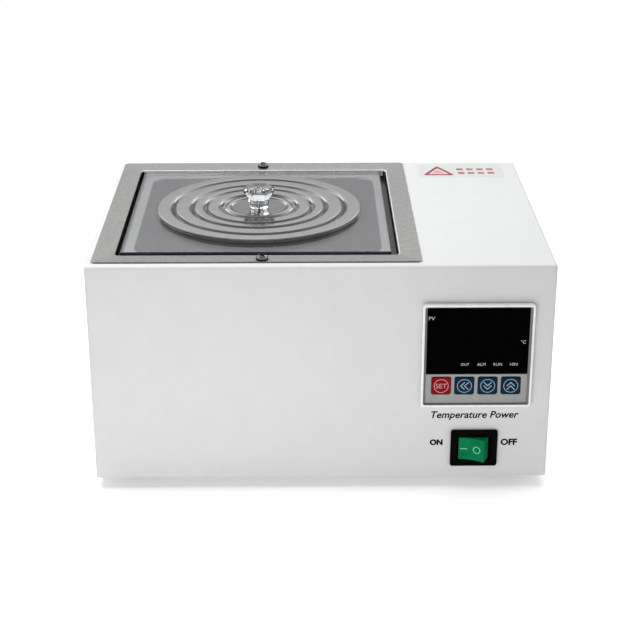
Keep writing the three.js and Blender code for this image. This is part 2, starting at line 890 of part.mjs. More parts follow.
// The circuit board behind the keypad, with the display block and a tact switch for each key.
function controllerBoard() {
  const { width, thickness, z, displayY } = board;
  const seat = z + thickness / 2;
  const laminate = block(width, width, thickness, 0, 0, z);
  const display = block(...board.display, 0, displayY, seat);
  const tacts = keyCentres().map((x) => block(...board.tact, x, key.rise, seat));
  return join(laminate, display, ...tacts);
}

function controllerBracket() {
  const opening = controller.caseWidth + 2 * GAP;
  const outside = opening + 2 * bracket.border;
  const back = -housing.sheet - bracket.setback;
  return plate(outside, outside, bracket.corner, bracket.depth, back, [window(opening, opening, GAP)]);
}

function makeController() {
  const keys = keyCentres().map((x, i) => (
    piece(key.names[i], keycap(), i === 0 ? 'keyRed' : 'keyBlue', x, key.rise, 0)
  ));
  return onFront(
    controller.x, controller.z,
    piece('controller_bezel', controllerBezel(), 'bezelWhite'),
    piece('controller_panel', controllerPanel(), 'panelGrey'),
    piece('controller_window', controllerWindow(), 'windowBlack'),
    piece('controller_case', controllerCase(), 'blackPlastic'),
    piece('controller_board', controllerBoard(), 'circuitBoard'),
    piece('controller_bracket', controllerBracket(), 'zinc'),
    ...keys,
  );
}

// --- Rocker switch ------------------------------------------------------------------------------

function switchHousing() {
  const { width, height, corner, bezel, bodyWidth, bodyHeight, bodyDepth, well } = rockerSwitch;
  const swing = Math.hypot(rocker.halfChord, rocker.tipHeight) + rocker.play;
  const front = solid(plate(width, height, corner, bezel - GAP, GAP));
  const body = block(bodyWidth, bodyHeight, bodyDepth + 2 * GAP, 0, 0, -bodyDepth);
  const room = block(2 * swing, rocker.height + 2 * rocker.play, well + REACH, 0, 0, -well);
  return cut(join(front, body), room);
}

// The rocker lies with its left end pressed in. Its face is one shallow arc between the two tips.
function switchRocker() {
  const { tilt, halfChord, tipHeight, taper, flank, foot: footDepth, halfFoot, height } = rocker;
  const tiltAngle = THREE.MathUtils.degToRad(tilt);
  const faceRadius = halfChord / Math.sin(tiltAngle);
  const faceCentre = tipHeight + faceRadius * Math.cos(tiltAngle);
  const side = new THREE.Shape();
  side.moveTo(halfChord, tipHeight);
  side.absarc(0, faceCentre, faceRadius, 1.5 * Math.PI + tiltAngle, 1.5 * Math.PI - tiltAngle, true);
  side.lineTo(-halfChord - taper, tipHeight - flank);
  side.lineTo(-halfFoot, -footDepth);
  side.lineTo(halfFoot, -footDepth);
  side.lineTo(halfChord + taper, tipHeight - flank);
  side.closePath();
  const settings = { depth: height, bevelEnabled: false, curveSegments: 6 };
  const geometry = new THREE.ExtrudeGeometry(side, settings);
  return geometry.rotateX(Math.PI / 2).translate(0, height / 2, 0);
}

function makeSwitch() {
  const lever = piece('switch_rocker', switchRocker(), 'greenLens', 0, 0, rocker.pivot);
  lever.rotation.y = -THREE.MathUtils.degToRad(rocker.tilt);
  return onFront(
    rockerSwitch.x, rockerSwitch.z,
    piece('switch_housing', switchHousing(), 'blackPlastic'),
    lever,
  );
}

// --- Mains inlet with its fuse drawer -----------------------------------------------------------

const inletPins = [
  ['inlet_pin_line', -inlet.pinPitch, inlet.socketRise - inlet.pinStagger],
  ['inlet_pin_earth', 0, inlet.socketRise + inlet.pinStagger],
  ['inlet_pin_neutral', inlet.pinPitch, inlet.socketRise - inlet.pinStagger],
];

function inletBody() {
  const { flangeWidth, flangeHeight, flange, flangeCorner, bodyWidth, bodyHeight, bodyDepth } = inlet;
  const [socketWidth, socketHeight] = inlet.socket;
  const ears = solid(plate(flangeWidth, flangeHeight, flangeCorner, flange - GAP, GAP, [], 3));
  const body = block(bodyWidth, bodyHeight, bodyDepth + 2 * GAP, 0, 0, -bodyDepth);
  const socketFloor = flange - inlet.socketDepth;
  const socket = block(
    socketWidth, socketHeight, 2 * inlet.socketDepth, 0, inlet.socketRise, socketFloor,
  );
  const slot = block(
    drawer.width + 2 * GAP, drawer.height + 2 * GAP, 2 * drawer.depth,
    0, drawer.drop, flange - drawer.depth - 2 * GAP,
  );
  const [pinWidth, pinHeight] = inlet.pin;
  const pinHoles = inletPins.map(([, x, y]) => (
    block(pinWidth + 2 * GAP, pinHeight + 2 * GAP, 3 * bodyDepth, x, y, -2 * bodyDepth)
  ));
  const screwHoles = [-1, 1].map((side) => (
    rod(m3.hole, 3 * flange, side * inlet.screwSpacing / 2, 0, -flange, HOLE_SIDES)
  ));
  return cut(join(ears, body), socket, slot, ...pinHoles, ...screwHoles);
}

// The drawer's box is open along one side for the fuse, and its front has a pull edge.
function fuseDrawer() {
  const { width, height, depth, lip, pullWidth, pullHeight, pullProud, wall, troughFloor } = drawer;
  const box = block(width, height, depth + lip, 0, 0, -depth);
  const pull = block(pullWidth, pullHeight, lip + pullProud, 0, (height - pullHeight) / 2, 0);
  const trough = block(
    2 * fuse.radius + wall, height, fuse.length + wall, 0, troughFloor, -depth + wall,
  );
  return cut(join(box, pull), trough);
}

function makeInlet() {
  const { pinLength, pinSetback, screwSpacing, flange } = inlet;
  const pins = inletPins.map(([name, x, y]) => {
    const blade = block(...inlet.pin, pinLength, 0, 0, -pinLength);
    return piece(name, blade, 'brass', x, y, -pinSetback);
  });
  const screws = [-1, 1].map((side) => {
    const name = `inlet_screw_${side < 0 ? 'left' : 'right'}`;
    const screw = piece(name, panScrew(m3, m3.length), 'zinc', side * screwSpacing / 2, 0, flange + GAP);
    screw.rotation.x = Math.PI;
    return screw;
  });
  const cartridge = rod(fuse.radius, fuse.length, 0, 0, -fuse.length / 2, HOLE_SIDES);
  const fuseZ = flange - drawer.depth / 2;
  return onRear(
    inlet.x, inlet.z,
    piece('inlet_body', inletBody(), 'blackPlastic'),
    piece('fuse_drawer', fuseDrawer(), 'blackPlastic', 0, drawer.drop, flange),
    piece('fuse', cartridge, 'fuseGlass', 0, drawer.drop + fuse.lift, fuseZ),
    ...pins,
    ...screws,
  );
}

// --- Relay, terminals and wiring ----------------------------------------------------------------

function relayBody() {
  const { width, depth, height, earWidth, earDepth, earHeight } = relay;
  const box = block(width, depth, height);
  const notches = [-1, 1].flatMap((end) => [
    block(earWidth, 2 * earDepth, height, 0, end * depth / 2, earHeight),
    rod(m4.hole, height, 0, end * (depth - earDepth) / 2, -earHeight, HOLE_SIDES),
  ]);
  return cut(box, ...notches);
}

function terminalBlock() {
  const { width, depth, height, ways, wall, well, wellFloor } = terminals;
  const box = block(width, depth, height);
  const pitch = width / ways;
  const wells = [];
  for (let i = 0; i < ways; i += 1) {
    const x = (i - (ways - 1) / 2) * pitch;
    wells.push(block(pitch - wall, well, height, x, -depth / 4, wellFloor));
    wells.push(block(pitch - wall, well, height, x, depth / 4, wellFloor));
  }
  return cut(box, ...wells);
}

function makeElectrics() {
  const deck = foot.height + housing.sheet + GAP;
  const tailX = tank.x + wallX + heater.tail + GAP;
  const tailZ = TOP + heaterZ;
  const [frontLeg, rearLeg] = heaterLegs.map((y) => tank.y + y);
  const relayTop = deck + relay.height + lead.gap;
  const blockTop = deck + terminals.height + lead.gap;
  const pinEnd = PANEL_FACE - inlet.pinSetback - inlet.pinLength - lead.gap;
  const caseEnd = FRONT + controller.caseDepth + lead.gap;
  const switchEnd = FRONT + rockerSwitch.bodyDepth + lead.gap;
  const [frontBendX, frontBendY] = routes.heaterFront.at(-1);
  const [rearBendX, rearBendY] = routes.heaterRear.at(-1);
  const [probeBendX] = routes.probe.at(-1);
  const [supplyBendX] = routes.supply.at(-1);
  const [earthX, earthY] = footPlaces().at(-1);
  const screwTop = deck + foot.screwGrip + lead.gap;
  const leadFront = [[tailX, frontLeg, tailZ], ...routes.heaterFront, [frontBendX, frontBendY, blockTop]];
  const leadRear = [[tailX, rearLeg, tailZ], ...routes.heaterRear, [rearBendX, rearBendY, relayTop]];
  const probeStart = [tank.x + wallX + probe.tail + 3 * GAP, tank.y, tailZ];
  const probeLead = [probeStart, ...routes.probe, [probeBendX, caseEnd, controller.z - lead.gap]];
  const supplyStart = [inlet.x + inlet.pinPitch, pinEnd, inlet.z + inlet.socketRise - inlet.pinStagger];
  const supplyLead = [supplyStart, ...routes.supply, [supplyBendX, switchEnd, rockerSwitch.z]];
  const earthStart = [inlet.x, pinEnd, inlet.z + inlet.socketRise + inlet.pinStagger];
  const earthLead = [earthStart, ...routes.earth, [earthX, earthY, screwTop]];
  return assembly(
    0, 0, 0,
    piece('solid_state_relay', relayBody(), 'blackPlastic', relay.x, relay.y, deck),
    piece('terminal_block', terminalBlock(), 'ceramic', terminals.x, terminals.y, deck),
    piece('heater_lead_front', cable(leadFront, lead.power), 'wireRed'),
    piece('heater_lead_rear', cable(leadRear, lead.power), 'wireRed'),
    piece('probe_lead', cable(probeLead, lead.signal), 'wireGrey'),
    piece('supply_lead', cable(supplyLead, lead.power), 'wireBlue'),
    piece('earth_lead', cable(earthLead, lead.power), 'wireGreen'),
  );
}

// --- Assembly -----------------------------------------------------------------------------------

const waterBath = assembly(
  0, 0, 0,
  makeHousing(),
  makeFeet(),
  makeTank(),
  makeCover(),
  makeController(),
  makeSwitch(),
  makeInlet(),
  makeElectrics(),
);

export default waterBath;
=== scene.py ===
"""Looks of a bench-top water bath: powder-coated housing, stainless tank under a clear cover plate
with nested reducing rings and a crystal knob, a panel temperature controller and a rocker switch.

Lengths inside the builders are millimetres; MM turns them into Blender's metres. Pieces take
their places from the boxes of the CAD nodes that they stand for.
"""

import json
from math import cos, pi, radians, sin, sqrt

import bmesh
import bpy
from mathutils import Matrix, Vector


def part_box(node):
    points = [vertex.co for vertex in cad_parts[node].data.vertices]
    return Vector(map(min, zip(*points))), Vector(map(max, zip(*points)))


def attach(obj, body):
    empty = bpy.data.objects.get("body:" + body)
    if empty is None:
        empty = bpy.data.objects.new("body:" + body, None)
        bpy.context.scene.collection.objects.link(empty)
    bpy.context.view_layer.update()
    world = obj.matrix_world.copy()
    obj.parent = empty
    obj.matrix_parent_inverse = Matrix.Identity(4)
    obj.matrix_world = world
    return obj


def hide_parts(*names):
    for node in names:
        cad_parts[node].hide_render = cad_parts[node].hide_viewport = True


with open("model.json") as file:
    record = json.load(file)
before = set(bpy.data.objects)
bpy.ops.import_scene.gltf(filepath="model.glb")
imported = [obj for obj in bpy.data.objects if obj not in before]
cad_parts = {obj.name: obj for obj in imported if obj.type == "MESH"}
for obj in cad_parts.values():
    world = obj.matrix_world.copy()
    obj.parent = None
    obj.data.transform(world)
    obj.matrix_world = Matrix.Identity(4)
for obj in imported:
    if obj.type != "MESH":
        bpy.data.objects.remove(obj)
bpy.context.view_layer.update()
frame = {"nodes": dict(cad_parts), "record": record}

MM = 0.001
RECORD = frame["record"]
BODY = {node: body for body, nodes in RECORD["behaviour"]["bodies"].items() for node in nodes}
SLOT = {part["node"]: part["material_slot"] for part in RECORD["subparts"]}


# --- Places, in millimetres ---

class Box:
    """The lowest and highest corner of a CAD node, in millimetres."""

    def __init__(self, node):
        low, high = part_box(node)
        self.low = Vector(low) / MM
        self.high = Vector(high) / MM
        self.size = self.high - self.low
        self.middle = (self.low + self.high) / 2


SHELL = Box("outer_shell")
TANK = Box("bath_tank")
PLATE = Box("cover_plate")
CAP = Box("centre_cap")
KNOB = Box("cap_knob")
BEZEL = Box("controller_bezel")
SWITCH = Box("switch_housing")
INLET = Box("inlet_body")
PANEL = Box("rear_panel")
FRONT_Y = SHELL.low.y
TOP_Z = SHELL.high.z
SHARP = 38  # degrees: an edge that bends more than this shades as a sharp one
RIM_SCREWS = ("rim_screw_front", "rim_screw_rear")
REAR_SCREWS = tuple(f"rear_screw_{i}" for i in range(1, 5))
M4 = {"head": 4, "height": 2.6, "shaft": 2}  # radii and height of a pan head and its shaft
M3 = {"head": 3, "height": 1.8, "shaft": 1.45}
M4_HOLE = 2.3
M3_HOLE = 1.7
HOLE_SIDES = 32
REACH = 4  # how far a cutter runs past the sheet that it opens


def front_frame(x, z):
    """Local X right, Y up and Z out of the front panel."""
    return Matrix(((1, 0, 0, x), (0, 0, -1, FRONT_Y), (0, 1, 0, z), (0, 0, 0, 1)))


def rear_frame(x, z, y):
    """Local X left, Y up and Z out of the rear panel."""
    return Matrix(((-1, 0, 0, x), (0, 0, 1, y), (0, 1, 0, z), (0, 0, 0, 1)))


def upright(x, y, z):
    return Matrix.Translation((x, y, z))


# --- Outlines and profiles ---

def soften(points, radii, steps=5, closed=True):
    """Replaces corners by short curves. radii is one number, or one per corner."""
    result = []
    count = len(points)
    for i, point in enumerate(points):
        radius = radii if isinstance(radii, (int, float)) else radii[i]
        corner = Vector(point)
        if radius == 0 or (not closed and i in (0, count - 1)):
            result.append(corner)
            continue
        before = Vector(points[i - 1]) - corner
        after = Vector(points[(i + 1) % count]) - corner
        start = corner + before.normalized() * min(radius, before.length * 0.49)
        end = corner + after.normalized() * min(radius, after.length * 0.49)
        for k in range(steps + 1):
            t = k / steps
            result.append(start * (1 - t) ** 2 + corner * 2 * t * (1 - t) + end * t ** 2)
    return result


def circle(radius, count, x=0.0, y=0.0, turn=0.0):
    angles = [turn + 2 * pi * i / count for i in range(count)]
    return [Vector((x + radius * cos(a), y + radius * sin(a))) for a in angles]


def rectangle(width, height, radius, x=0.0, y=0.0, steps=6):
    """Anticlockwise, with true quarter-circle corners of steps + 1 points each."""
    points = []
    for quarter, (side, level) in enumerate(((1, 1), (-1, 1), (-1, -1), (1, -1))):
        centre = Vector((x + side * (width / 2 - radius), y + level * (height / 2 - radius)))
        for k in range(steps + 1):
            angle = (quarter + k / steps) * pi / 2
            points.append(centre + radius * Vector((cos(angle), sin(angle))))
    return points


# --- Meshes ---

def finish_mesh(bm, place, sharp=SHARP):
    """A mesh in metres from a bmesh in local millimetres, smooth except at its sharp edges."""
    bmesh.ops.remove_doubles(bm, verts=bm.verts, dist=1e-4)
    bmesh.ops.transform(bm, matrix=Matrix.Scale(MM, 4) @ place, verts=bm.verts)
    bmesh.ops.recalc_face_normals(bm, faces=bm.faces)
    mesh = bpy.data.meshes.new("mesh")
    bm.to_mesh(mesh)
    bm.free()
    shade(mesh, sharp)
    return mesh


def shade(mesh, sharp=SHARP):
    """Smooth shading, except across edges that bend more than the angle in degrees."""
    mesh.polygons.foreach_set("use_smooth", [True] * len(mesh.polygons))
    mesh.set_sharp_from_angle(angle=radians(sharp))


def new_object(name, mesh):
    mesh.name = name
    thing = bpy.data.objects.new(name, mesh)
    bpy.context.scene.collection.objects.link(thing)
    return thing


def loft(loops, place, close=False, sharp=SHARP):
    """Skins a chain of loops of 3-D points, all of the same length. close joins the last to the first."""
    bm = bmesh.new()
    rows = [[bm.verts.new(point) for point in loop] for loop in loops]
    count = len(rows[0])
    pairs = list(zip(rows, rows[1:]))
    if close:
        pairs.append((rows[-1], rows[0]))
    for lower, upper in pairs:
        for i in range(count):
            k = (i + 1) % count
            bm.faces.new((lower[i], lower[k], upper[k], upper[i]))
    if not close:
        bm.faces.new(list(reversed(rows[0])))
        bm.faces.new(rows[-1])
    return finish_mesh(bm, place, sharp)


def lathe(profile, place, segments=96, closed=True, sharp=SHARP, turn=0.0):
    """Turns a profile of (radius, z) about local Z. A point on the axis becomes a pole."""
    bm = bmesh.new()
    rows = []
    for radius, z in profile:
        if radius < 1e-6:
            rows.append([bm.verts.new((0, 0, z))])
        else:
            ring = circle(radius, segments, turn=turn)
            rows.append([bm.verts.new((p.x, p.y, z)) for p in ring])
    pairs = list(zip(rows, rows[1:]))
    if closed:
        pairs.append((rows[-1], rows[0]))
    for lower, upper in pairs:
        for i in range(segments):
            k = (i + 1) % segments
            corners = [lower[i % len(lower)], lower[k % len(lower)]]
            corners += [upper[k % len(upper)], upper[i % len(upper)]]
            distinct = list(dict.fromkeys(corners))
            if len(distinct) > 2:
                bm.faces.new(distinct)
    return finish_mesh(bm, place, sharp)


def prism(outline, bottom, top, place):
    """An outline pulled up from bottom to top along local Z."""
    return loft([[(p.x, p.y, z) for p in outline] for z in (bottom, top)], place)


def final_mesh(thing):
    """A new mesh of what the object's modifiers, curve or text come to."""
    graph = bpy.context.evaluated_depsgraph_get()
    return bpy.data.meshes.new_from_object(thing.evaluated_get(graph))


def mesh_from_data(name, data):
    """A new mesh of a curve or a text, through an object that is dropped again."""
    holder = bpy.data.objects.new(name, data)
    bpy.context.scene.collection.objects.link(holder)
    mesh = final_mesh(holder)
    bpy.data.objects.remove(holder)
    return mesh


def settle(thing, sharp=SHARP):
    """Applies the modifiers to the object's own mesh."""
    mesh = final_mesh(thing)
    thing.modifiers.clear()
    thing.data = mesh
    mesh.name = thing.name
    shade(mesh, sharp)
    return thing


def carve(thing, cutters, operation="DIFFERENCE"):
    """Cuts the meshes of cutters out of the object, or joins them to it."""
    tools = [new_object("cutter", mesh) for mesh in cutters]
    for tool in tools:
        step = thing.modifiers.new("carve", "BOOLEAN")
        step.operation = operation
        step.solver = "EXACT"
        step.object = tool
    settle(thing)
    for tool in tools:
        bpy.data.objects.remove(tool)
    return thing


def round_edges(thing, width, segments=3, angle=50):
    """Rounds every edge sharper than the angle."""
    step = thing.modifiers.new("round", "BEVEL")
    step.width = width * MM
    step.segments = segments
    step.limit_method = "ANGLE"
    step.angle_limit = radians(angle)
    step.miter_outer = "MITER_ARC"
    step.use_clamp_overlap = True
    return settle(thing)


def slab(name, outline, bottom, top, place, holes=(), edge=0.3, segments=3):
    """A plate with rounded edges and holes given as outlines."""
    plate = new_object(name, prism(outline, bottom, top, place))
    if holes:
        margin = (top - bottom) + 2
        carve(plate, [prism(hole, bottom - margin, top + margin, place) for hole in holes])
    return round_edges(plate, edge, segments) if edge else plate


def brick(low, high):
    """A plain box between two corners, as a cutter or a blank."""
    outline = [Vector((low[0], low[1])), Vector((high[0], low[1]))]
    outline += [Vector((high[0], high[1])), Vector((low[0], high[1]))]
    return prism(outline, low[2], high[2], Matrix())


# --- Materials ---

class Paint:
    """Builds a node material: a Principled shader with textures in the object's own coordinates."""

    def __init__(self, name, colour, roughness, metallic=0.0, **inputs):
        self.material = bpy.data.materials.new(name)
        self.material.use_nodes = True
        self.tree = self.material.node_tree
        self.shader = self.tree.nodes["Principled BSDF"]
        self.where = self.tree.nodes.new("ShaderNodeTexCoord").outputs["Object"]
        self.colour = colour
        self.set("Base Color", (*colour, 1.0))
        self.set("Roughness", roughness)
        self.set("Metallic", metallic)
        for key, value in inputs.items():
            self.set(key.replace("_", " "), value)
        self.height = None

    def set(self, name, value):
        self.shader.inputs[name].default_value = value

    def link(self, output, target):
        self.tree.links.new(output, target)

    def node(self, kind, **settings):
        """A new node of that kind, its unlinked inputs set by name."""
        node = self.tree.nodes.new("ShaderNode" + kind)
        for name, value in settings.items():
            node.inputs[name.replace("_", " ")].default_value = value
        return node

    def texture(self, kind, stretch=(1, 1, 1), **settings):
        """A texture node in the object's coordinates, squeezed along each axis by stretch."""
        mapping = self.node("Mapping", Scale=stretch)
        self.link(self.where, mapping.inputs["Vector"])
        node = self.node(kind, **settings)
        self.link(mapping.outputs["Vector"], node.inputs["Vector"])
        return node

    def noise(self, scale, detail=3.0, stretch=(1, 1, 1), rough=0.5):
        node = self.texture("TexNoise", stretch, Scale=scale, Detail=detail, Roughness=rough)
        return node.outputs["Fac"]

    def cells(self, scale):
        node = self.texture("TexVoronoi", Scale=scale)
        node.feature = "SMOOTH_F1"
        return node.outputs["Distance"]

    def span(self, source, low, high, start=0.3, end=0.7):
        """The source's values from start to end, spread from low to high."""
        node = self.node("MapRange", From_Min=start, From_Max=end, To_Min=low, To_Max=high)
        self.link(source, node.inputs["Value"])
        return node.outputs["Result"]

    def tint(self, source, change, start=0.3, end=0.7):
        """Varies the base colour by +-change with the source."""
        node = self.node("Mix")
        node.data_type = "RGBA"
        dark, light = [tuple(min(1.0, c * k) for c in self.colour) for k in (1 - change, 1 + change)]
        node.inputs["A"].default_value = (*dark, 1.0)
        node.inputs["B"].default_value = (*light, 1.0)
        self.link(self.span(source, 0, 1, start, end), node.inputs["Factor"])
        self.link(node.outputs["Result"], self.shader.inputs["Base Color"])
        return self

    def gloss(self, source, low, high):
        self.link(self.span(source, low, high), self.shader.inputs["Roughness"])
        return self

    def relief(self, source, depth):
        """Adds a bump of the given depth in millimetres on top of any earlier one."""
        node = self.node("Bump", Strength=1.0, Distance=depth * MM)
        self.link(source, node.inputs["Height"])
        if self.height:
            self.link(self.height, node.inputs["Normal"])
        self.height = node.outputs["Normal"]
        self.link(self.height, self.shader.inputs["Normal"])
        return self

    def lets_lamps_through(self, colour):
        """Rays from lamps pass the surface straight, tinted by the colour."""
        gap = self.node("BsdfTransparent", Color=(*colour, 1.0))
        choice = self.node("MixShader")
        self.link(self.node("LightPath").outputs["Is Shadow Ray"], choice.inputs["Fac"])
        self.link(self.shader.outputs["BSDF"], choice.inputs[1])
        self.link(gap.outputs["BSDF"], choice.inputs[2])
        self.link(choice.outputs["Shader"], self.tree.nodes["Material Output"].inputs["Surface"])
        return self


def finish(name, colour, roughness, tint, gloss, relief, metallic=0.0, **inputs):
    """A material of noises: tint is (noise settings, change), gloss (settings, low, high), and relief
    a list of (settings, depth in millimetres)."""
    paint = Paint(name, colour, roughness, metallic, **inputs)
    paint.tint(paint.noise(*tint[0]), tint[1])
    paint.gloss(paint.noise(*gloss[0]), *gloss[1:])
    for settings, depth in relief:
        paint.relief(paint.noise(*settings), depth)
    return paint.material


def powder_coat():
    orange_peel, grain = ((620, 2), 0.14), ((1900, 2), 0.02)
    return finish("powder_coat", (0.605, 0.607, 0.597), 0.5, ((60,), 0.012), ((500,), 0.42, 0.58),
                  [orange_peel, grain], Specular_IOR_Level=0.3)


def satin_steel(name, grey):
    return finish(name, (grey, grey * 0.998, grey * 0.975), 0.34, ((420, 6, (1, 1, 1), 0.7), 0.16),
                  ((220, 3, (1, 6, 1)), 0.27, 0.42), [((900, 3, (0.15, 1, 1)), 0.006)], 1.0)


def polished_steel(name, colour):
    return finish(name, colour, 0.14, ((120,), 0.05), ((300,), 0.10, 0.2), [((260, 2), 0.006)], 1.0)


def clear_acrylic():
    """Clear sheet with the faint haze of use. Lamps shine through it."""
    paint = Paint("clear_acrylic", (0.90, 0.91, 0.93), 0.1, IOR=1.49, Transmission_Weight=0.985)
    paint.tint(paint.noise(25), 0.01)
    paint.gloss(paint.noise(40), 0.07, 0.13)
    paint.relief(paint.noise(18, 1), 0.01)
    return paint.lets_lamps_through((0.7, 0.71, 0.72)).material


def moulding(name, colour, roughness, spread=0.06, grain=0.01, **inputs):
    """Moulded plastic or print: faint flow variation and a fine spark-eroded grain."""
    low, high = max(0.02, roughness - 0.06), roughness + 0.06
    return finish(name, colour, roughness, ((180,), spread), ((700,), low, high), [((3000, 2), grain)],
                  **inputs)


def circuit_board():
    paint = Paint("circuit_board", (0.03, 0.16, 0.07), 0.35)
    paint.tint(paint.cells(420), 0.5, 0.1, 0.6)
    paint.gloss(paint.noise(600), 0.25, 0.45)
    return paint.relief(paint.cells(420), 0.05).material


def lead_sheath(name, colour):
    return finish(name, colour, 0.5, ((350,), 0.12), ((700,), 0.4, 0.6), [((1200,), 0.02)])


MATERIALS = {
    "powder_coat": powder_coat(),
    "stainless": satin_steel("satin_steel", 0.51),
    # painted shade: a near-black copy of the stainless, for the gap beside the cover plate and a shadow
    # under the rim's edge
    "painted_shade_steel": satin_steel("painted_shade_steel", 0.07),
    # painted shade: a darker copy of the stainless for the deep well
    "well_painted_shade_steel": satin_steel("well_painted_shade_steel", 0.2),
    # painted light: a pale, barely metallic copy of the steel for the lit recess edges
    "painted_light_edge": moulding("painted_light_edge", (0.7, 0.7, 0.69), 0.3, 0.1, 0.006, Metallic=0.2),
    "fuse_glass": moulding("fuse_glass", (0.9, 0.95, 0.95), 0.06, 0.02, 0.002, Transmission_Weight=1.0),
    "polished_steel": polished_steel("polished_steel", (0.43, 0.43, 0.425)),
    # painted reflection: a darker copy of the polished steel for the cap's middle
    "dish_painted_reflection_steel": polished_steel("dish_painted_reflection_steel", (0.25, 0.262, 0.275)),
    "zinc": finish("zinc_plate", (0.42, 0.42, 0.41), 0.2, ((400,), 0.12), ((900,), 0.14, 0.3),
                   [((2500,), 0.004)], 1.0),
    "brass": finish("brass", (0.62, 0.46, 0.2), 0.28, ((300,), 0.12), ((900,), 0.2, 0.4),
                    [((2200,), 0.004)], 1.0),
    "rubber": finish("rubber", (0.018, 0.018, 0.019), 0.8, ((500,), 0.3), ((900,), 0.7, 0.9),
                     [((2600,), 0.02)]),
    "acrylic": clear_acrylic(),
    # painted reflection: near-black blue for the dark band that the clear sheet's edge shows
    "acrylic_edge_painted_reflection": finish("acrylic_edge_painted_reflection", (0.006, 0.005, 0.024), 0.2, ((60,), 0.1), ((200,), 0.12, 0.28),
                           [((500, 2, (1, 1, 0.1)), 0.02)], Transmission_Weight=0.2,
                           Specular_IOR_Level=0.2),
    "crystal": finish("crystal", (0.97, 0.98, 1.0), 0.0, ((90,), 0.01), ((200,), 0.0, 0.02),
                      [((300, 1), 0.004)], IOR=1.5, Transmission_Weight=1.0),
    "glass_wool": finish("glass_wool", (0.72, 0.66, 0.42), 0.95, ((260, 8, (1, 1, 4), 0.7), 0.25),
                         ((500,), 0.9, 1.0), [((420, 8, (1, 1, 4), 0.75), 0.6)]),
    "circuit_board": circuit_board(),
}

MOULDINGS = {  # colour, roughness, spread, grain
    "bezel_white": ((0.78, 0.78, 0.77), 0.3),
    "panel_grey": ((0.27, 0.27, 0.268), 0.38, 0.04, 0.02),
    "ceramic": ((0.74, 0.70, 0.60), 0.5, 0.08, 0.03),
    # painted shade: grey for the white bezel's inner slope
    "lip_painted_shade_grey": ((0.15, 0.15, 0.15), 0.4),
    "print_white": ((0.46, 0.46, 0.46), 0.5),
    "print_pale_blue": ((0.27, 0.36, 0.43), 0.5),
    "print_pale_red": ((0.62, 0.28, 0.28), 0.5),
    "print_pale_green": ((0.12, 0.55, 0.32), 0.4),
    "print_red": ((0.27, 0.03, 0.032), 0.45),
    "print_soft_red": ((0.37, 0.12, 0.13), 0.45, 0.3),
    "label_film": ((0.55, 0.56, 0.55), 0.5, 0.01),
}
DULL_MOULDINGS = {  # specular level, colour, roughness, spread, grain
    "window_black": (0.004, (0.0006, 0.0006, 0.0006), 0.12, 0.2, 0.002),
    "key_red": (0.05, (0.20, 0.003, 0.006), 0.36),
    "key_blue": (0.05, (0.002, 0.018, 0.038), 0.36),
    "black_plastic": (0.02, (0.0012, 0.0012, 0.0012), 0.4, 0.2, 0.02),
    "green_lens": (0.03, (0.002, 0.165, 0.06), 0.25, 0.15, 0.004),
    # real print, and painted shade in the screws' recesses and round the foot of their heads
    "print_and_painted_shade_black": (0.02, (0.003, 0.003, 0.004), 0.5),
}
SHEATHS = {
    "wire_red": (0.34, 0.02, 0.015),
    "wire_blue": (0.015, 0.06, 0.32),
    "wire_grey": (0.25, 0.25, 0.26),
    "wire_green": (0.09, 0.34, 0.03),
}
for name, settings in MOULDINGS.items():
    MATERIALS[name] = moulding(name, *settings)
for name, (specular, *settings) in DULL_MOULDINGS.items():
    MATERIALS[name] = moulding(name, *settings, Specular_IOR_Level=specular)
for name, colour in SHEATHS.items():
    MATERIALS[name] = lead_sheath(name, colour)


def dress(thing, material, body, slot):
    thing.data.materials.clear()
    thing.data.materials.append(MATERIALS[material])
    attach(thing, body)
    return thing


def stands_for(thing, node):
    """The piece replaces a CAD node: it rides on its body and takes the finish that its slot names."""
    dress(thing, SLOT[node], BODY[node], SLOT[node])
    thing.modifiers.new("flats", "WEIGHTED_NORMAL").keep_sharp = True  # flat sheet shades flat
    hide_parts(node)
    return thing


# --- Housing ---

SHEET = 1.2
BEND = 2.0  # outside radius of the folded edges
FLANGE = 14  # the rear panel is screwed to this
TANK_PLAY = 2.5  # round the tank's recess, in the opening under the rim
INLET_SCREWS = 20  # from the inlet's middle to its screws
VENTS = {"count": 5, "width": 44, "height": 3.6, "radius": 1.7, "pitch": 9, "lowest": 14}


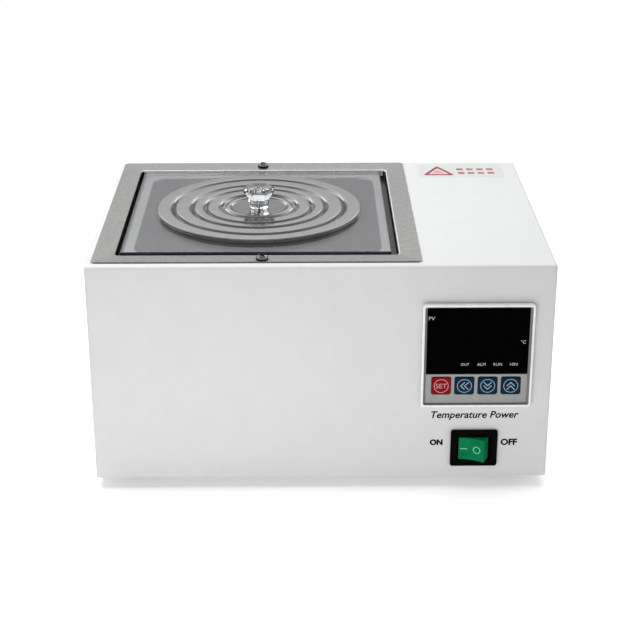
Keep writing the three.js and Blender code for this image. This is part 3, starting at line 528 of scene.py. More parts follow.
def outer_shell():
    low, high = SHELL.low, SHELL.high
    bm = bmesh.new()
    bmesh.ops.create_cube(bm, size=1.0)
    for vert in bm.verts:
        vert.co = Vector([low[i] if vert.co[i] < 0 else high[i] for i in range(3)])
    folds = [e for e in bm.edges if any(v.co.z > low.z + 1 for v in e.verts)]
    bmesh.ops.bevel(bm, geom=folds, offset=BEND, segments=6, profile=0.5, affect="EDGES")
    shell = new_object("shell_skin", finish_mesh(bm, Matrix()))
    inner_low = low + Vector((SHEET, SHEET, -5))
    inner_high = high - Vector((SHEET, SHEET, SHEET))
    tank_half = RECESS_HALF + TANK_PLAY
    bay = BEZEL.size.x / 2 - 2
    body_x, body_z = SWITCH.size.x / 2 - 1.2, SWITCH.size.z / 2 - 2
    cutters = [
        brick(inner_low, inner_high),
        brick((low.x + FLANGE, high.y - REACH, low.z - 5),
              (high.x - FLANGE, high.y + REACH, high.z - FLANGE)),
        opening((TANK.middle.x, RECESS_Y, TOP_Z), (tank_half, tank_half, REACH)),
        opening((BEZEL.middle.x, FRONT_Y, BEZEL.middle.z), (bay, REACH, bay)),
        opening((SWITCH.middle.x, FRONT_Y, SWITCH.middle.z), (body_x, REACH, body_z)),
    ]
    cutters += rim_screw_holes()
    for name in REAR_SCREWS:
        spot = Box(name).middle
        place = rear_frame(spot.x, spot.z, high.y)
        cutters.append(prism(circle(M3_HOLE, HOLE_SIDES), -REACH, REACH, place))
    carve(shell, cutters)
    stands_for(round_edges(shell, 0.25, 2, 60), "outer_shell")


def opening(middle, half):
    """A box as a cutter, from its middle and half its size along each axis."""
    return brick(Vector(middle) - Vector(half), Vector(middle) + Vector(half))


def rim_screw_holes():
    """Cutters for the rim screws' holes, through the rim and the housing under it."""
    spots = [Box(name).middle for name in RIM_SCREWS]
    outlines = [circle(M4_HOLE, HOLE_SIDES, spot.x, spot.y) for spot in spots]
    return [prism(outline, TOP_Z - REACH, TOP_Z + REACH, Matrix()) for outline in outlines]


def rear_panel():
    place = rear_frame(PANEL.middle.x, PANEL.middle.z, PANEL.low.y)
    centre = PANEL.middle
    holes = []
    for name in REAR_SCREWS:
        spot = Box(name).middle
        holes.append(circle(M3_HOLE, HOLE_SIDES, centre.x - spot.x, spot.z - centre.z))
    inlet_x, inlet_y = centre.x - INLET.middle.x, INLET.middle.z - centre.z
    holes.append(rectangle(28.6, 29.6, 1, inlet_x, inlet_y))
    for side in (-INLET_SCREWS, INLET_SCREWS):
        holes.append(circle(M3_HOLE, HOLE_SIDES, inlet_x + side, inlet_y))
    rise = VENTS["lowest"] - (centre.z - SHELL.middle.z)
    for i in range(VENTS["count"]):
        level = rise + VENTS["pitch"] * i
        holes.append(rectangle(VENTS["width"], VENTS["height"], VENTS["radius"], inlet_x, level))
    outline = rectangle(PANEL.size.x, PANEL.size.z, 3)
    panel = slab("rear_cover", outline, 0, PANEL.size.y, place, holes, edge=0.3)
    stands_for(panel, "rear_panel")


def foot(node):
    box = Box(node)
    top = box.size.x / 2
    pocket, depth = 4.6, 4.5  # radius and depth of the hollow that takes the screw's head
    profile = [(pocket, 0), (top - 1, 0), (top, box.size.z), (M4_HOLE, box.size.z), (M4_HOLE, depth)]
    profile.append((pocket, depth))
    shape = soften(profile, (0.4, 1.2, 0.5, 0.2, 0.3, 0.3))
    mesh = lathe(shape, upright(box.middle.x, box.middle.y, 0), 64)
    stands_for(new_object(node + "_rubber", mesh), node)


THREAD_PITCH = 0.7
THREAD_START = 1.0  # plain shaft under the head
THREAD_ROOT = 0.84  # radius at the bottom of the thread, over the shaft's


def pan_screw(node, place, length, head, height, shaft):
    """A domed head with a cross recess above local z = 0, and a threaded shaft below it."""
    crown = [(0, height), (head * 0.45, height * 0.97), (head * 0.8, height * 0.75), (head, height * 0.25)]
    top = soften(crown, (0, 1.2, 1.0, 0.6), closed=False)
    thread = []
    for i in range(int((length - 1.2) / THREAD_PITCH)):
        z = -THREAD_START - i * THREAD_PITCH
        thread += [Vector((shaft, z)), Vector((shaft * THREAD_ROOT, z - THREAD_PITCH / 2))]
    rim = [Vector((head, 0)), Vector((shaft, 0))]
    tip = [Vector((shaft * 0.8, -length + 0.1)), Vector((0, -length))]
    profile = list(reversed(top + rim + thread + tip))
    screw = new_object(node + "_head", lathe(profile, place, 48, closed=False))
    arm, wide = head * 0.24, head * 0.72  # half width and half length of the cross
    lower = [(-arm, -arm * 0.6), (arm, -arm * 0.6), (arm, arm * 0.6), (-arm, arm * 0.6)]
    upper = [(-wide, -arm), (wide, -arm), (wide, arm), (-wide, arm)]
    loops = [[(x, y, height * 0.15) for x, y in lower], [(x, y, height + 0.5) for x, y in upper]]
    across = [[(y, -x, z) for x, y, z in loop] for loop in loops]
    carve(screw, [loft(loops, place), loft(across, place)])
    stands_for(screw, node)
    back = place.inverted()

    def shaded(centre):
        """Whether a point lies in the cross recess or low on the head's side, which are painted black as
        shade.
        """
        local = back @ centre
        recess = height * 0.1 < local.z < height * 0.78 and local.xy.length < wide
        return recess or 0 < local.z < height * 0.35

    # painted shade: the recess and the foot of the head are coloured black
    extra_material(screw, "print_and_painted_shade_black", shaded)


def screws():
    for node, turn in zip(RIM_SCREWS, (radians(25), radians(-30))):
        box = Box(node)
        place = upright(box.middle.x, box.middle.y, box.high.z - M4["height"])
        pan_screw(node, place @ Matrix.Rotation(turn, 4, "Z"), 8, **M4)
    rear = [(node, 0.4 + i, 6) for i, node in enumerate(REAR_SCREWS)]
    rear += [("inlet_screw_left", 0.3, 8), ("inlet_screw_right", 1.1, 8)]
    for node, turn, length in rear:
        box = Box(node)
        place = rear_frame(box.middle.x, box.middle.z, box.high.y - M3["height"])
        pan_screw(node, place @ Matrix.Rotation(turn, 4, "Z"), length, **M3)
    down = Matrix.Rotation(pi, 4, "X")
    for i in range(4):
        node = f"foot_screw_{i + 1}"
        box = Box(node)
        place = upright(box.middle.x, box.middle.y, box.low.z + M4["height"]) @ down
        pan_screw(node, place @ Matrix.Rotation(i, 4, "Z"), box.size.z - M4["height"], **M4)
    box = Box("knob_screw")
    place = upright(box.middle.x, box.middle.y, box.low.z + M3["height"]) @ down
    pan_screw("knob_screw", place, 8, **M3)


# --- Tank ---

RECESS_HALF = 91.5
RECESS_Y = TANK.low.y + 105.5  # middle of the recess; the rim reaches further behind it
WELL_HALF = 80.75
LEDGE_Z = TOP_Z - 5.7
FLOOR_Z = LEDGE_Z - 110
WELL_CORNER = 12
RIM_FALL = 0.55  # the rim slopes down to its inner edge by this much
PLATE_EDGE = 87.2  # half width within which the cover plate hides the ledge


def corner_radius(half, extra=0.0):
    """Corner radius of the tank's square section of that half width, extra on its outside."""
    if half >= RECESS_HALF:
        return 4 + extra
    if half >= WELL_HALF:
        share = (RECESS_HALF - half) / (RECESS_HALF - WELL_HALF)
        return 4 + (WELL_CORNER - 4) * share + extra
    return max(half - (WELL_HALF - WELL_CORNER), 0.4) + extra


def bath_tank():
    """A pressing skinned through loops from its outer underside to its rim and down to its floor."""
    rim_half = TANK.size.x / 2
    front, rear = RECESS_Y - TANK.low.y, TANK.high.y - RECESS_Y
    top = TANK.high.z
    underside = top - 0.95
    inside = soften(
        [(rim_half, underside), (rim_half, top), (RECESS_HALF, top - RIM_FALL), (RECESS_HALF, LEDGE_Z),
         (PLATE_EDGE, LEDGE_Z), (WELL_HALF, LEDGE_Z), (WELL_HALF, FLOOR_Z), (20, FLOOR_Z)],
        (0, 0.7, 1.0, 1.4, 0, 1.6, 12, 0), 8, closed=False,
    )
    outside = soften(
        [(20, FLOOR_Z - 1), (WELL_HALF + 1, FLOOR_Z - 1), (WELL_HALF + 1, LEDGE_Z - 1),
         (RECESS_HALF + 1, LEDGE_Z - 1), (RECESS_HALF + 1, underside), (rim_half - 0.2, underside)],
        (0, 13, 0.6, 2.4, 0.2, 0), 8, closed=False,
    )
    loops = []
    for skin, extra in ((outside, 1), (inside, 0)):
        for half, z in skin:
            on_rim = half > rim_half - 2
            radius = 3 if on_rim else corner_radius(half - extra, extra)
            low, high = (front - rim_half + half, rear - rim_half + half) if on_rim else (half, half)
            outline = rectangle(2 * half, low + high, radius, 0, (high - low) / 2, steps=8)
            loops.append([(p.x, p.y, z) for p in outline])
    tank = new_object("tank_pressing", loft(loops, upright(TANK.middle.x, RECESS_Y, 0), sharp=30))
    cutters = rim_screw_holes()
    for name, radius in (("heater_nut_front", 4.3), ("heater_nut_rear", 4.3), ("probe_nut", 2.3)):
        cutters.append(prism(circle(radius, HOLE_SIDES), -18, 10, cross_frame(Box(name).middle)))
    stands_for(carve(tank, cutters), "bath_tank")
    # painted shade in the gap beside the plate and painted shadow on the rim's outer edge, as near-black
    # steel
    extra_material(tank, "painted_shade_steel", lambda centre: in_gap(centre) or under_rim(centre, rim_half))
    # painted shade: the well below the ledge takes the darker steel
    extra_material(tank, "well_painted_shade_steel", lambda centre: centre.z < LEDGE_Z - 0.3)
    # painted light on the rear recess wall and the rounding on the right
    extra_material(tank, "painted_light_edge", at_lit_edge)


def in_gap(centre):
    """Whether a point lies in the narrow gap beside the cover plate, which light hardly enters; these faces
    get painted shade.
    """
    aside = abs(centre.x - TANK.middle.x) > PLATE_EDGE + 0.5
    ahead = RECESS_Y - centre.y > PLATE_EDGE - 4
    return LEDGE_Z - 0.2 < centre.z < TOP_Z - 0.4 and (aside or ahead)


def at_lit_edge(centre):
    """Whether a point lies on the recess wall that faces the front, or on the rounding on its right; both
    get painted light.
    """
    upper = LEDGE_Z + 2 < centre.z < TOP_Z + 1
    rear = abs(centre.y - RECESS_Y - RECESS_HALF) < 0.7
    right = abs(centre.x - TANK.middle.x - RECESS_HALF) < 0.7 and centre.z > TOP_Z - 0.4
    return upper and (rear or right)


def under_rim(centre, rim_half):
    """Whether a point lies on the rim's thin outer edge where it meets the housing, which gets a painted
    shadow.
    """
    low = centre.z < TANK.high.z - 0.5
    outermost = abs(centre.x - TANK.middle.x) > rim_half - 0.15 or centre.y < TANK.low.y + 0.15
    return low and outermost


def extra_material(thing, material, test):
    """Gives one more material to the faces whose centre, in millimetres, passes the test."""
    thing.data.materials.append(MATERIALS[material])
    for face in thing.data.polygons:
        if test(face.center / MM):
            face.material_index = len(thing.data.materials) - 1


def cross_frame(spot):
    """Local Z along +X, local Y up, centred on the spot."""
    return Matrix(((0, 0, 1, spot.x), (1, 0, 0, spot.y), (0, 1, 0, spot.z), (0, 0, 0, 1)))


SHELF_HOLES = (-45, -15, 15, 45)  # rows and columns of holes, from the middle
SKIRT_HALF = 60
SKIRT_Y = 76.8


def tank_shelf():
    box = Box("tank_shelf")
    x, y, deck_top = box.middle.x, box.middle.y, box.high.z
    holes = [circle(6, 40, column, row) for row in SHELF_HOLES for column in SHELF_HOLES]
    outline = rectangle(box.size.x, box.size.x, 10)
    shelf = slab("shelf_sheet", outline, deck_top - 1, deck_top, upright(x, y, 0), holes, edge=0)
    skirts = []
    for side in (y - SKIRT_Y, y + SKIRT_Y):
        low = (x - SKIRT_HALF, side - 0.5, box.low.z)
        skirts.append(brick(low, (x + SKIRT_HALF, side + 0.5, deck_top - 0.4)))
    carve(shelf, skirts, "UNION")
    stands_for(round_edges(shelf, 0.25, 2), "tank_shelf")


def tube(name, points, radius):
    """A round bar along a smooth curve through the points, in millimetres."""
    curve = bpy.data.curves.new(name, "CURVE")
    curve.dimensions = "3D"
    spline = curve.splines.new("POLY")
    spline.points.add(len(points) - 1)
    for target, point in zip(spline.points, points):
        target.co = (*(Vector(point) * MM), 1.0)
    curve.bevel_depth = radius * MM
    curve.bevel_resolution = 6
    curve.use_fill_caps = True
    mesh = mesh_from_data(name, curve)
    shade(mesh)
    return new_object(name, mesh)


def immersion_heater():
    box = Box("immersion_heater")
    radius = 30
    z = box.middle.z
    y = box.middle.y
    end = box.low.x + radius + 4
    points = [(box.high.x, y - radius, z)]
    bends = 32
    for i in range(bends + 1):
        angle = pi * i / bends
        points.append((end - radius * sin(angle), y - radius * cos(angle), z))
    points.append((box.high.x, y + radius, z))
    stands_for(tube("heater_rod", points, 4), "immersion_heater")


def gland_nut(node, bore):
    box = Box(node)
    place = cross_frame(Vector((box.low.x, box.middle.y, box.middle.z)))
    hexagon = circle(8, 6, turn=pi / 2)
    nut = slab(node + "_hex", hexagon, 0, box.size.x, place, [circle(bore + 0.3, 40)], edge=0.5)
    stands_for(nut, node)


def temperature_probe():
    box = Box("temperature_probe")
    place = cross_frame(Vector((box.high.x, box.middle.y, box.middle.z)))
    length = box.size.x
    profile = soften([(0, -length), (2, -length), (2, 0), (0, 0)], (0, 1.6, 0.3, 0), 8, closed=False)
    stands_for(new_object("probe_sheath", lathe(profile, place, 48, closed=False)), "temperature_probe")


# --- Cover plate, rings, cap and knob ---

def cover_plate():
    place = upright(PLATE.middle.x, PLATE.middle.y, PLATE.low.z)
    outline = rectangle(PLATE.size.x, PLATE.size.y, 3)
    hole = circle(61.3, 160)
    plate = slab("clear_plate", outline, 0, PLATE.size.z, place, [hole], edge=0)
    low, high = PLATE.low, PLATE.high
    bevel = [Vector((low.y + y, high.z + z)) for y, z in ((-1, 1), (-1, -1.3), (2.4, 0.1), (2.4, 1))]
    along = Matrix(((0, 0, 1, 0), (1, 0, 0, 0), (0, 1, 0, 0), (0, 0, 0, 1)))
    carve(plate, [prism(bevel, low.x - 1, high.x + 1, along)])
    stands_for(round_edges(plate, 0.4), "cover_plate")

    def on_dark_edge(centre):
        """Whether a point lies on the plate's rim, which gets a painted dark reflection, but not at its
        rear, which stays clear.
        """
        return low.z + 0.5 < centre.z < high.z - 0.3 and centre.y < high.y - 0.6

    extra_material(plate, "acrylic_edge_painted_reflection", on_dark_edge)


RING_SHEET = 0.8
RING_STEP = 2.6  # width of the curved step from the top down to the seat
RING_PLAY = 0.35
RING_SEAT = 3.5  # width of the seat that holds the next ring
HEM_GAP = 0.1


def reducing_ring(node, inner_node, rests_on):
    """A pressed ring on a hem that stands at that height. Returns the height of its seat."""
    box = Box(node)
    outer = box.size.x / 2
    step = Box(inner_node).size.x / 2 + RING_PLAY
    seat = box.size.z - RING_SHEET
    hem = box.high.z - rests_on - HEM_GAP
    inner = step - RING_PLAY - RING_SEAT
    corners = [
        (outer, -hem), (outer, 0), (step + RING_STEP, 0), (step + 0.2, -seat), (inner, -seat),
        (inner, -seat - RING_SHEET), (step + 0.7, -seat - RING_SHEET),
        (step + RING_STEP + 0.5, -RING_SHEET), (outer - RING_SHEET, -RING_SHEET), (outer - RING_SHEET, -hem),
    ]
    profile = soften(corners, (0.2, 0.9, 1.5, 1.0, 0.3, 0.3, 1.0, 1.2, 0.4, 0.2), 6)
    mesh = lathe(profile, upright(box.middle.x, box.middle.y, box.high.z), 160, sharp=50)
    stands_for(new_object(node + "_pressing", mesh), node)
    return box.high.z - seat


def rings_and_cap():
    level = PLATE.high.z
    nodes = ["ring_1", "ring_2", "ring_3", "ring_4", "centre_cap"]
    for node, inner in zip(nodes, nodes[1:]):
        level = reducing_ring(node, inner, level)
    outer = CAP.size.x / 2
    hem = CAP.high.z - level - HEM_GAP
    dish = 1.1  # how deep the middle is
    corners = [
        (outer, -hem), (outer, -1.1), (outer - 2.6, 0), (19.6, -0.35), (18.8, -dish), (2.2, -dish),
        (2.2, -dish - RING_SHEET), (18.4, -dish - RING_SHEET), (19.4, -1.2),
        (outer - 2.8, -RING_SHEET), (outer - RING_SHEET, -1.8), (outer - RING_SHEET, -hem),
    ]
    profile = soften(corners, (0.2, 1.2, 2.2, 0.9, 0.8, 0.2, 0.2, 0.6, 0.6, 1.6, 0.6, 0.2), 6)
    mesh = lathe(profile, upright(CAP.middle.x, CAP.middle.y, CAP.high.z), 144, sharp=50)
    cap = stands_for(new_object("cap_pressing", mesh), "centre_cap")
    # painted reflection: the cap's middle dish is coloured darker than the same steel of the rings
    extra_material(cap, "dish_painted_reflection_steel", lambda c: (c - CAP.middle).xy.length < 18.4)


def cap_knob():
    """Eight-sided crystal: flat facets from a narrow base to a wide, bevelled head."""
    facets = 8
    height, head = KNOB.size.z, KNOB.size.x / 2
    flats = [
        (0, 8), (1.6, 8), (1.6, 0), (6.0, 0), (6.3, 0.4), (7.3, height - 7.8), (head - 0.2, height - 2.5),
        (head, height - 2.2), (head, height - 1.2), (head - 1.9, height), (0, height),
    ]
    profile = [(half / cos(pi / facets), z) for half, z in flats]
    place = upright(KNOB.middle.x, KNOB.middle.y, KNOB.low.z)
    knob = new_object("crystal_knob", lathe(profile, place, facets, closed=False, sharp=5, turn=pi / facets))
    round_edges(knob, 0.15, 2, 12)
    shade(knob.data, 8)
    stands_for(knob, "cap_knob")


# --- Front panel pieces ---

FACE = 2.5  # local height of the controller's face and window
GAP = 0.3  # under the pieces that lie on the front panel
FILM = 0.03  # thickness of print
HOOP_SIDES = 48


def printed(name, outlines, place, height, ink, thickness=FILM):
    """Thin printing or inlay from outlines, as raised film. ink is its material, body and slot."""
    film = None
    for outline in outlines:
        mesh = prism(outline, height, height + thickness, place)
        part = new_object(name, mesh)
        if film is None:
            film = part
            continue
        bm = bmesh.new()
        bm.from_mesh(film.data)
        bm.from_mesh(part.data)
        bm.to_mesh(film.data)
        bm.free()
        bpy.data.objects.remove(part)
    return dress(film, *ink)


def stroke(points, width):
    """A closed outline round an open line of 2-D points, mitred at its bends."""
    line = [Vector(p) for p in points]
    left, right = [], []
    for i, point in enumerate(line):
        before = (point - line[i - 1]).normalized() if i else None
        after = (line[i + 1] - point).normalized() if i + 1 < len(line) else None
        direction = before if after is None else after if before is None else (before + after).normalized()
        normal = Vector((-direction.y, direction.x))
        reference = before or after
        stretch = 1 / max(0.3, Vector((-reference.y, reference.x)).dot(normal))
        left.append(point + normal * width / 2 * stretch)
        right.append(point - normal * width / 2 * stretch)
    return left + list(reversed(right))


def hoop(name, radius, width, place, height, ink, x=0.0):
    """A flat printed circle line, x to the right of the frame's origin."""
    top = height + FILM
    inner, outer = radius - width / 2, radius + width / 2
    profile = [(outer, height), (outer, top), (inner, top), (inner, height)]
    mesh = lathe(profile, place @ Matrix.Translation((x, 0, 0)), HOOP_SIDES)
    return dress(new_object(name, mesh), *ink)


def legend(name, words, width, place, height, ink, slant=0.0, weight=0.0):
    """Printed words, scaled to the given width and centred on the frame."""
    text = bpy.data.curves.new(name, "FONT")
    text.body = words
    text.shear = slant
    text.offset = weight
    text.resolution_u = 3
    text.align_x = "CENTER"
    text.align_y = "CENTER"
    text.extrude = 0.002
    mesh = mesh_from_data(name, text)
    xs = [v.co.x for v in mesh.vertices]
    ys = [v.co.y for v in mesh.vertices]
    scale = width / (max(xs) - min(xs))
    middle = Vector(((max(xs) + min(xs)) / 2, (max(ys) + min(ys)) / 2, 0))
    bm = bmesh.new()
    bm.from_mesh(mesh)
    for vert in bm.verts:
        flat = (vert.co - middle) * scale
        vert.co = Vector((flat.x, flat.y, height + (FILM if vert.co.z > 0 else 0.0)))
    return dress(new_object(name, finish_mesh(bm, place)), *ink)


def controller():
    place = front_frame(BEZEL.middle.x, BEZEL.middle.z)
    half = BEZEL.size.x / 2
    rim = BEZEL.high.y - BEZEL.low.y
    keypad = Box("controller_panel")
    inside = keypad.size.x + 0.6
    outline = rectangle(2 * half, 2 * half, 2)
    opening = rectangle(inside, inside, 1)
    bezel = slab("bezel_frame", outline, GAP, GAP + rim, place, [opening], edge=0.5, segments=4)
    stands_for(bezel, "controller_bezel")
    bezel_lip(place, inside + 0.2, GAP + rim)
    pad_y = keypad.middle.z - BEZEL.middle.z
    key_boxes = {name: Box(name) for name in ("key_set", "key_shift", "key_down", "key_up")}
    holes = []
    for box in key_boxes.values():
        offset = box.middle - BEZEL.middle
        holes.append(rectangle(box.size.x + 2 * GAP, box.size.z + 2 * GAP, 1.5, offset.x, offset.z))
    pad_outline = rectangle(keypad.size.x, keypad.size.z, 0.6, 0, pad_y)
    pad = slab("keypad_overlay", pad_outline, GAP, FACE, place, holes, edge=0.15, segments=2)
    stands_for(pad, "controller_panel")
    window = Box("controller_window")
    window_outline = rectangle(window.size.x, window.size.z, 0.6, 0, window.middle.z - BEZEL.middle.z)
    glass = slab("display_window", window_outline, GAP, FACE, place, edge=0.15, segments=2)
    stands_for(glass, "controller_window")
    for name, box in key_boxes.items():
        keycap(name, box)
    window_words(place)


def bezel_lip(place, outer, front):
    """The lip that slopes from the bezel's face in to the window and the keypad, coloured grey as painted
    shade.
    """
    side, level = outer - 2.9, outer - 1.8
    sections = [(outer, outer, FACE), (outer, outer, front + 0.02)]
    sections += [(side, level, FACE + 0.06), (side, level, FACE)]
    loops = [[(p.x, p.y, z) for p in rectangle(width, height, 1)] for width, height, z in sections]
    lip = new_object("bezel_lip", loft(loops, place, close=True))
    dress(lip, "lip_painted_shade_grey", BODY["controller_bezel"], "panel_grey")


def keycap(node, box):
    place = front_frame(box.middle.x, box.middle.z)
    top = FRONT_Y - box.low.y
    outline = rectangle(box.size.x, box.size.z, 1.7)
    cap = slab(node + "_cap", outline, FRONT_Y - box.high.y, top, place, edge=0.35, segments=3)
    stands_for(cap, node)
    ink = ("print_pale_red" if node == "key_set" else "print_pale_blue", BODY[node], SLOT[node])
    hoop(node + "_ring", 4.6, 0.42, place, top, ink)
    if node == "key_set":
        legend(node + "_word", "SET", 7.2, place, top, ink)
        return
    turn = {"key_shift": pi / 2, "key_down": pi, "key_up": 0}[node]
    tilt = Matrix.Rotation(turn, 4, "Z")
    for i, offset in enumerate((-1.6, 0.9)):
        chevron = [(-2.6, offset - 1.1), (0, offset + 1.5), (2.6, offset - 1.1)]
        printed(f"{node}_chevron_{i + 1}", [stroke(chevron, 0.6)], place @ tilt, top, ink)


def window_words(place):
    ink = ("print_white", BODY["controller_window"], "bezel_white")
    words = [
        ("PV", -30.1, 26.3, 3.9), ("°C", 29.3, 9.7, 3.3), ("OUT", -7.8, -6.0, 5.3),
        ("ALM", 2.8, -6.0, 5.5), ("RUN", 13.4, -6.0, 5.5), ("HIN", 23.7, -6.0, 4.8),
    ]
    names = ["value", "degrees", "output", "alarm", "run", "high"]
    for name, (word, x, y, width) in zip(names, words):
        spot = place @ Matrix.Translation((x, y, 0))
        legend("mark_" + name, word, width, spot, FACE, ink)


ROCKER_TILT = radians(18.5)
ROCKER_PIVOT = -1.7


def rocker_switch():
    place = front_frame(SWITCH.middle.x, SWITCH.middle.z)
    outline = rectangle(SWITCH.size.x, SWITCH.size.z, 1.6)
    frame_piece = new_object("switch_frame", prism(outline, 0.3, 2.0, place))
    body = [prism(rectangle(28, 21.6, 0.6), -22, 1.0, place)]
    carve(frame_piece, body, "UNION")
    well = prism(rectangle(22.5, 16.6, 0.5), -13, 6, place)
    stands_for(round_edges(carve(frame_piece, [well]), 0.35, 3), "switch_housing")
    lever()


def lever():
    """The green rocker: one shallow arc for its face, tapered ends, left end pressed in."""
    half, tip, taper, flank, floor_z = 8.5, 6.8, 1.45, 8.0, -4.5
    radius = half / sin(ROCKER_TILT)
    centre = tip + radius * cos(ROCKER_TILT)
    steps = 16
    face = []
    for k in range(steps + 1):
        angle = -pi / 2 + ROCKER_TILT * (1 - 2 * k / steps)
        face.append((radius * cos(angle), centre + radius * sin(angle)))
    corners = face + [(-half - taper, tip - flank), (-half * 0.6, floor_z)]
    corners += [(half * 0.6, floor_z), (half + taper, tip - flank)]
    radii = [1.1] + [0] * (steps - 1) + [1.1] + [0.8] * 4
    outline = soften(corners, radii, 5)
    width = Box("switch_rocker").size.z
    place = front_frame(SWITCH.middle.x, SWITCH.middle.z) @ Matrix.Translation((0, 0, ROCKER_PIVOT))
    place = place @ Matrix.Rotation(-ROCKER_TILT, 4, "Y")
    side_on = place @ Matrix(((1, 0, 0, 0), (0, 0, -1, 0), (0, 1, 0, 0), (0, 0, 0, 1)))
    body = new_object("rocker_lens", prism(outline, -width / 2, width / 2, side_on))
    stands_for(round_edges(body, 0.5, 4), "switch_rocker")
    ink = ("print_pale_green", BODY["switch_rocker"], SLOT["switch_rocker"])
    ring = hoop("rocker_mark_off", 2.3, 0.6, place, 0, ink, x=3.6)
    line = [Vector((-7.4 + 0.46 * k, side * 0.33)) for side in (-1, 1) for k in range(11)[::-side]]
    bar = printed("rocker_mark_on", [line], place, 0, ink)
    back = (Matrix.Scale(MM, 4) @ place).inverted()
    for mark in (ring, bar):
        for vert in mark.data.vertices:
            local = back @ vert.co
            local.z += centre - sqrt(radius ** 2 - local.x ** 2) + 0.02
            vert.co = (Matrix.Scale(MM, 4) @ place) @ local


def front_words():
    ink = ("print_and_painted_shade_black", BODY["outer_shell"], "window_black")
    entries = [
        ("legend_power", "Temperature Power", 101.1, 52.8, 57.8, 0.22, 0.022),
        ("legend_on", "ON", 76.2, 33.3, 8.6, 0.0, 0.06),
        ("legend_off", "OFF", 124.4, 33.3, 10.9, 0.0, 0.045),
    ]
    for name, word, x, z, width, slant, weight in entries:
        legend(name, word, width, front_frame(x, z), 0.01, ink, slant, weight)


def top_label():
    """A plain red triangle outline and rows of short bars, in place of a printed label."""
    body = BODY["outer_shell"]
    place = upright(0, 0, TOP_Z)
    film = slab("label_film", rectangle(63, 32, 3, 107.0, 89.6), 0.01, 0.05, place, edge=0)
    dress(film, "label_film", body, "acrylic")
    corners = [(78.2, 78.5), (102.0, 78.5), (90.1, 101.3)]
    outline = soften(corners, 2.6, 4)
    middle = sum((Vector(c) for c in corners), Vector((0, 0))) / 3
    inner = [middle + (p - middle) * 0.66 for p in outline]
    sign = new_object("label_triangle", prism(outline, 0.06, 0.1, place))
    carve(sign, [prism(inner, -1, 1, place)])
    dress(sign, "print_red", body, "key_red")
    core = [middle + (p - middle) * 0.42 for p in outline]
    printed("label_core", [core], place, 0.06, ("print_pale_red", body, "key_red"), 0.04)
    for row, (start, y) in enumerate(((104.3, 93.0), (104.6, 83.8))):
        for i in range(4):
            bar = rectangle(5.0, 4.6, 0.8, start + 2.5 + 7.45 * i, y)
            name = f"label_bar_{row + 1}_{i + 1}"
            printed(name, [bar], place, 0.06, ("print_soft_red", body, "key_red"), 0.04)


# --- Rear pieces ---

PINS = ("inlet_pin_line", "inlet_pin_earth", "inlet_pin_neutral")


def mains_inlet():
    place = rear_frame(INLET.middle.x, INLET.middle.z, INLET.high.y - 3)
    body = new_object("inlet_moulding", prism(rectangle(50, 34, 5), 0.2, 3, place))
    carve(body, [prism(rectangle(28, 29, 0.8), -26, 1, place)], "UNION")
    chamfer = 4.5
    width, height, rise = 24.5, 16.5, 4.4
    low, high = rise - height / 2, rise + height / 2
    socket = [(-width / 2, low), (width / 2, low), (width / 2, high - chamfer),
              (width / 2 - chamfer, high), (-width / 2 + chamfer, high), (-width / 2, high - chamfer)]
    cutters = [prism(soften(socket, 0.8, 3), -13, 6, place)]
    cutters.append(prism(rectangle(22.6, 7.0, 0.3, 0, -10), -18.6, 6, place))
    for side in (-INLET_SCREWS, INLET_SCREWS):
        cutters.append(prism(circle(M3_HOLE, HOLE_SIDES, side, 0), -REACH, 6, place))
    for node in PINS:
        spot = Box(node).middle
        x, y = INLET.middle.x - spot.x, spot.z - INLET.middle.z
        cutters.append(prism(rectangle(2.6, 4.6, 0.2, x, y), -40, 0, place))
    stands_for(round_edges(carve(body, cutters), 0.4, 3), "inlet_body")
    for node in PINS:
        box = Box(node)
        spot = rear_frame(box.middle.x, box.middle.z, box.low.y)
        blade = slab(node + "_blade", rectangle(2, 4, 0.3), 0, box.size.y, spot, edge=0.35, segments=3)
        stands_for(blade, node)
    fuse_drawer()


def fuse_drawer():
    box = Box("fuse_drawer")
    place = rear_frame(box.middle.x, box.middle.z, INLET.high.y)
    drawer = new_object("drawer_moulding", prism(rectangle(22, 6.4, 0.4), -21, 1.8, place))
    carve(drawer, [prism(rectangle(11, 1.6, 0.3, 0, 2.4), 1, 3.2, place)], "UNION")
    trough = prism(rectangle(6, 6.4, 0.3, 0, 1.2), -20, -1, place)
    stands_for(round_edges(carve(drawer, [trough]), 0.25, 3), "fuse_drawer")
    fuse = Box("fuse")
    spot = rear_frame(fuse.middle.x, fuse.middle.z, fuse.middle.y)
    profile = soften([(0, -9), (2.5, -9), (2.5, 9), (0, 9)], (0, 0.4, 0.4, 0), 4, closed=False)
    stands_for(new_object("fuse_tube", lathe(profile, spot, 40, closed=False)), "fuse")


# --- Pieces with the CAD's own shape, their edges rounded ---

def softened_copy(node, edge=None):
    """A copy of the CAD mesh, with rounded edges, or smoothed all over when it has none."""
    source = frame["nodes"][node]
    thing = new_object(node + "_piece", source.data.copy())
    thing.matrix_world = source.matrix_world
    thing.modifiers.new("weld", "WELD").merge_threshold = 1e-6
    if edge:
        stands_for(round_edges(thing, edge, 2), node)
    else:
        thing.modifiers.new("smooth", "SUBSURF").levels = 1
        stands_for(settle(thing, 60), node)


def inner_pieces():
    edges = {
        "base_plate": 0.3, "controller_case": 0.6, "controller_board": 0.3, "controller_bracket": 0.4,
        "solid_state_relay": 0.8, "terminal_block": 0.5, "tank_insulation": 2.0,
    }
    for node, edge in edges.items():
        softened_copy(node, edge)
    for node in ("heater_lead_front", "heater_lead_rear", "probe_lead", "supply_lead", "earth_lead"):
        softened_copy(node)


# --- Studio ---

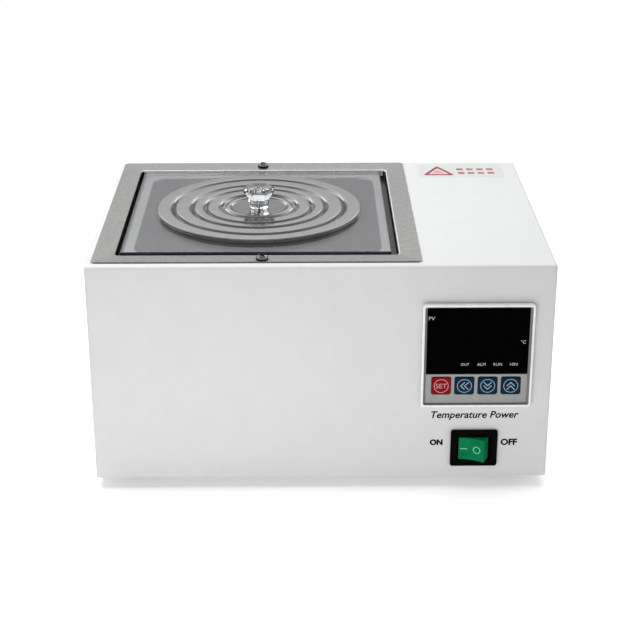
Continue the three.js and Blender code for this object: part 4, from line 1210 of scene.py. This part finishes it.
def pale_floor():
    mesh = prism(rectangle(1700, 1700, 10), -20, 0, Matrix())
    floor = new_object("floor", mesh)
    glow = {"Emission_Color": (1, 1, 1, 1), "Emission_Strength": 0.34}
    paint = Paint("floor_paper", (0.93, 0.93, 0.93), 0.9, **glow)
    paint.tint(paint.noise(3), 0.004)
    mesh.materials.append(paint.relief(paint.noise(400), 0.05).material)


def area_light(name, place, aim, width, height, power, mirrored=False, sparkle=False, colour=(1, 1, 1)):
    lamp = bpy.data.lights.new(name, "AREA")
    lamp.shape = "RECTANGLE"
    lamp.size = width
    lamp.size_y = height
    lamp.energy = power
    lamp.color = colour
    holder = bpy.data.objects.new(name, lamp)
    holder.location = place
    holder.rotation_euler = (Vector(aim) - Vector(place)).to_track_quat("-Z", "Y").to_euler()
    holder.visible_glossy = mirrored
    holder.visible_transmission = mirrored or sparkle
    holder.visible_camera = False
    bpy.context.scene.collection.objects.link(holder)


def studio():
    world = bpy.data.worlds.new("studio")
    bpy.context.scene.world = world
    world.use_nodes = True
    nodes, links = world.node_tree.nodes, world.node_tree.links
    direction = nodes.new("ShaderNodeTexCoord").outputs["Generated"]
    split = nodes.new("ShaderNodeSeparateXYZ")
    links.new(direction, split.inputs["Vector"])

    def slope(axis, start, end, low, high):
        """The direction along the axis, spread from low to high between start and end."""
        node = nodes.new("ShaderNodeMapRange")
        for name, value in zip(("From Min", "From Max", "To Min", "To Max"), (start, end, low, high)):
            node.inputs[name].default_value = value
        links.new(split.outputs[axis], node.inputs["Value"])
        return node.outputs["Result"]

    def product(first, second):
        node = nodes.new("ShaderNodeMath")
        node.operation = "MULTIPLY"
        links.new(first, node.inputs[0])
        links.new(second, node.inputs[1])
        return node.outputs["Value"]

    height = product(slope("Z", 0.2, 0.42, 0.2, 1.0), slope("Z", 0.42, 0.85, 1.2, 0.32))
    room = product(height, slope("Y", -0.2, 0.3, 0.5, 1.0))
    seen = nodes.new("ShaderNodeMix")
    links.new(nodes.new("ShaderNodeLightPath").outputs["Is Camera Ray"], seen.inputs["Factor"])
    links.new(room, seen.inputs["A"])
    seen.inputs["B"].default_value = 1.0
    links.new(seen.outputs["Result"], nodes["Background"].inputs["Strength"])
    nodes["Background"].inputs["Color"].default_value = (1.0, 1.0, 1.0, 1.0)
    sky = (0.965, 0.985, 1.0)
    area_light("key_front", (-0.08, -0.51, 0.1), (-0.08, -0.11, 0.09), 0.25, 0.15, 0.62)
    area_light("key_top", (-0.25, 0.0, 0.6), (-0.05, 0.0, 0.16), 0.3, 0.3, 1.5, sparkle=True, colour=sky)
    area_light("overhead", (0.0, 0.4, 2.0), (0, 0.0, 0.1), 2.0, 2.0, 34, colour=sky)
    area_light("rear_left", (-0.75, 1.3, 0.75), (0, 0, 0.15), 0.15, 0.5, 0.5, True)
    area_light("rear_right", (0.6, 1.3, 0.75), (0, 0, 0.15), 0.15, 0.5, 0.5, True)


def camera():
    lens = bpy.data.cameras.new("camera")
    lens.lens = 86.4
    lens.sensor_width = 36.0
    lens.clip_end = 50
    holder = bpy.data.objects.new("camera", lens)
    yaw, pitch = radians(0.61), radians(22.76)
    forward = Vector((sin(yaw) * cos(pitch), cos(yaw) * cos(pitch), -sin(pitch)))
    holder.location = (-0.0104, -1.0188, 0.5017)
    holder.rotation_euler = forward.to_track_quat("-Z", "Y").to_euler()
    bpy.context.scene.collection.objects.link(holder)
    bpy.context.scene.camera = holder
    bpy.context.scene.view_settings.view_transform = "Standard"


# --- Everything ---

camera()
pale_floor()
studio()
outer_shell()
rear_panel()
for number in range(1, 5):
    foot(f"foot_{number}")
screws()
bath_tank()
tank_shelf()
immersion_heater()
gland_nut("heater_nut_front", 4)
gland_nut("heater_nut_rear", 4)
gland_nut("probe_nut", 2)
temperature_probe()
cover_plate()
rings_and_cap()
cap_knob()
controller()
rocker_switch()
front_words()
top_label()
mains_inlet()
inner_pieces()

bpy.context.view_layer.update()
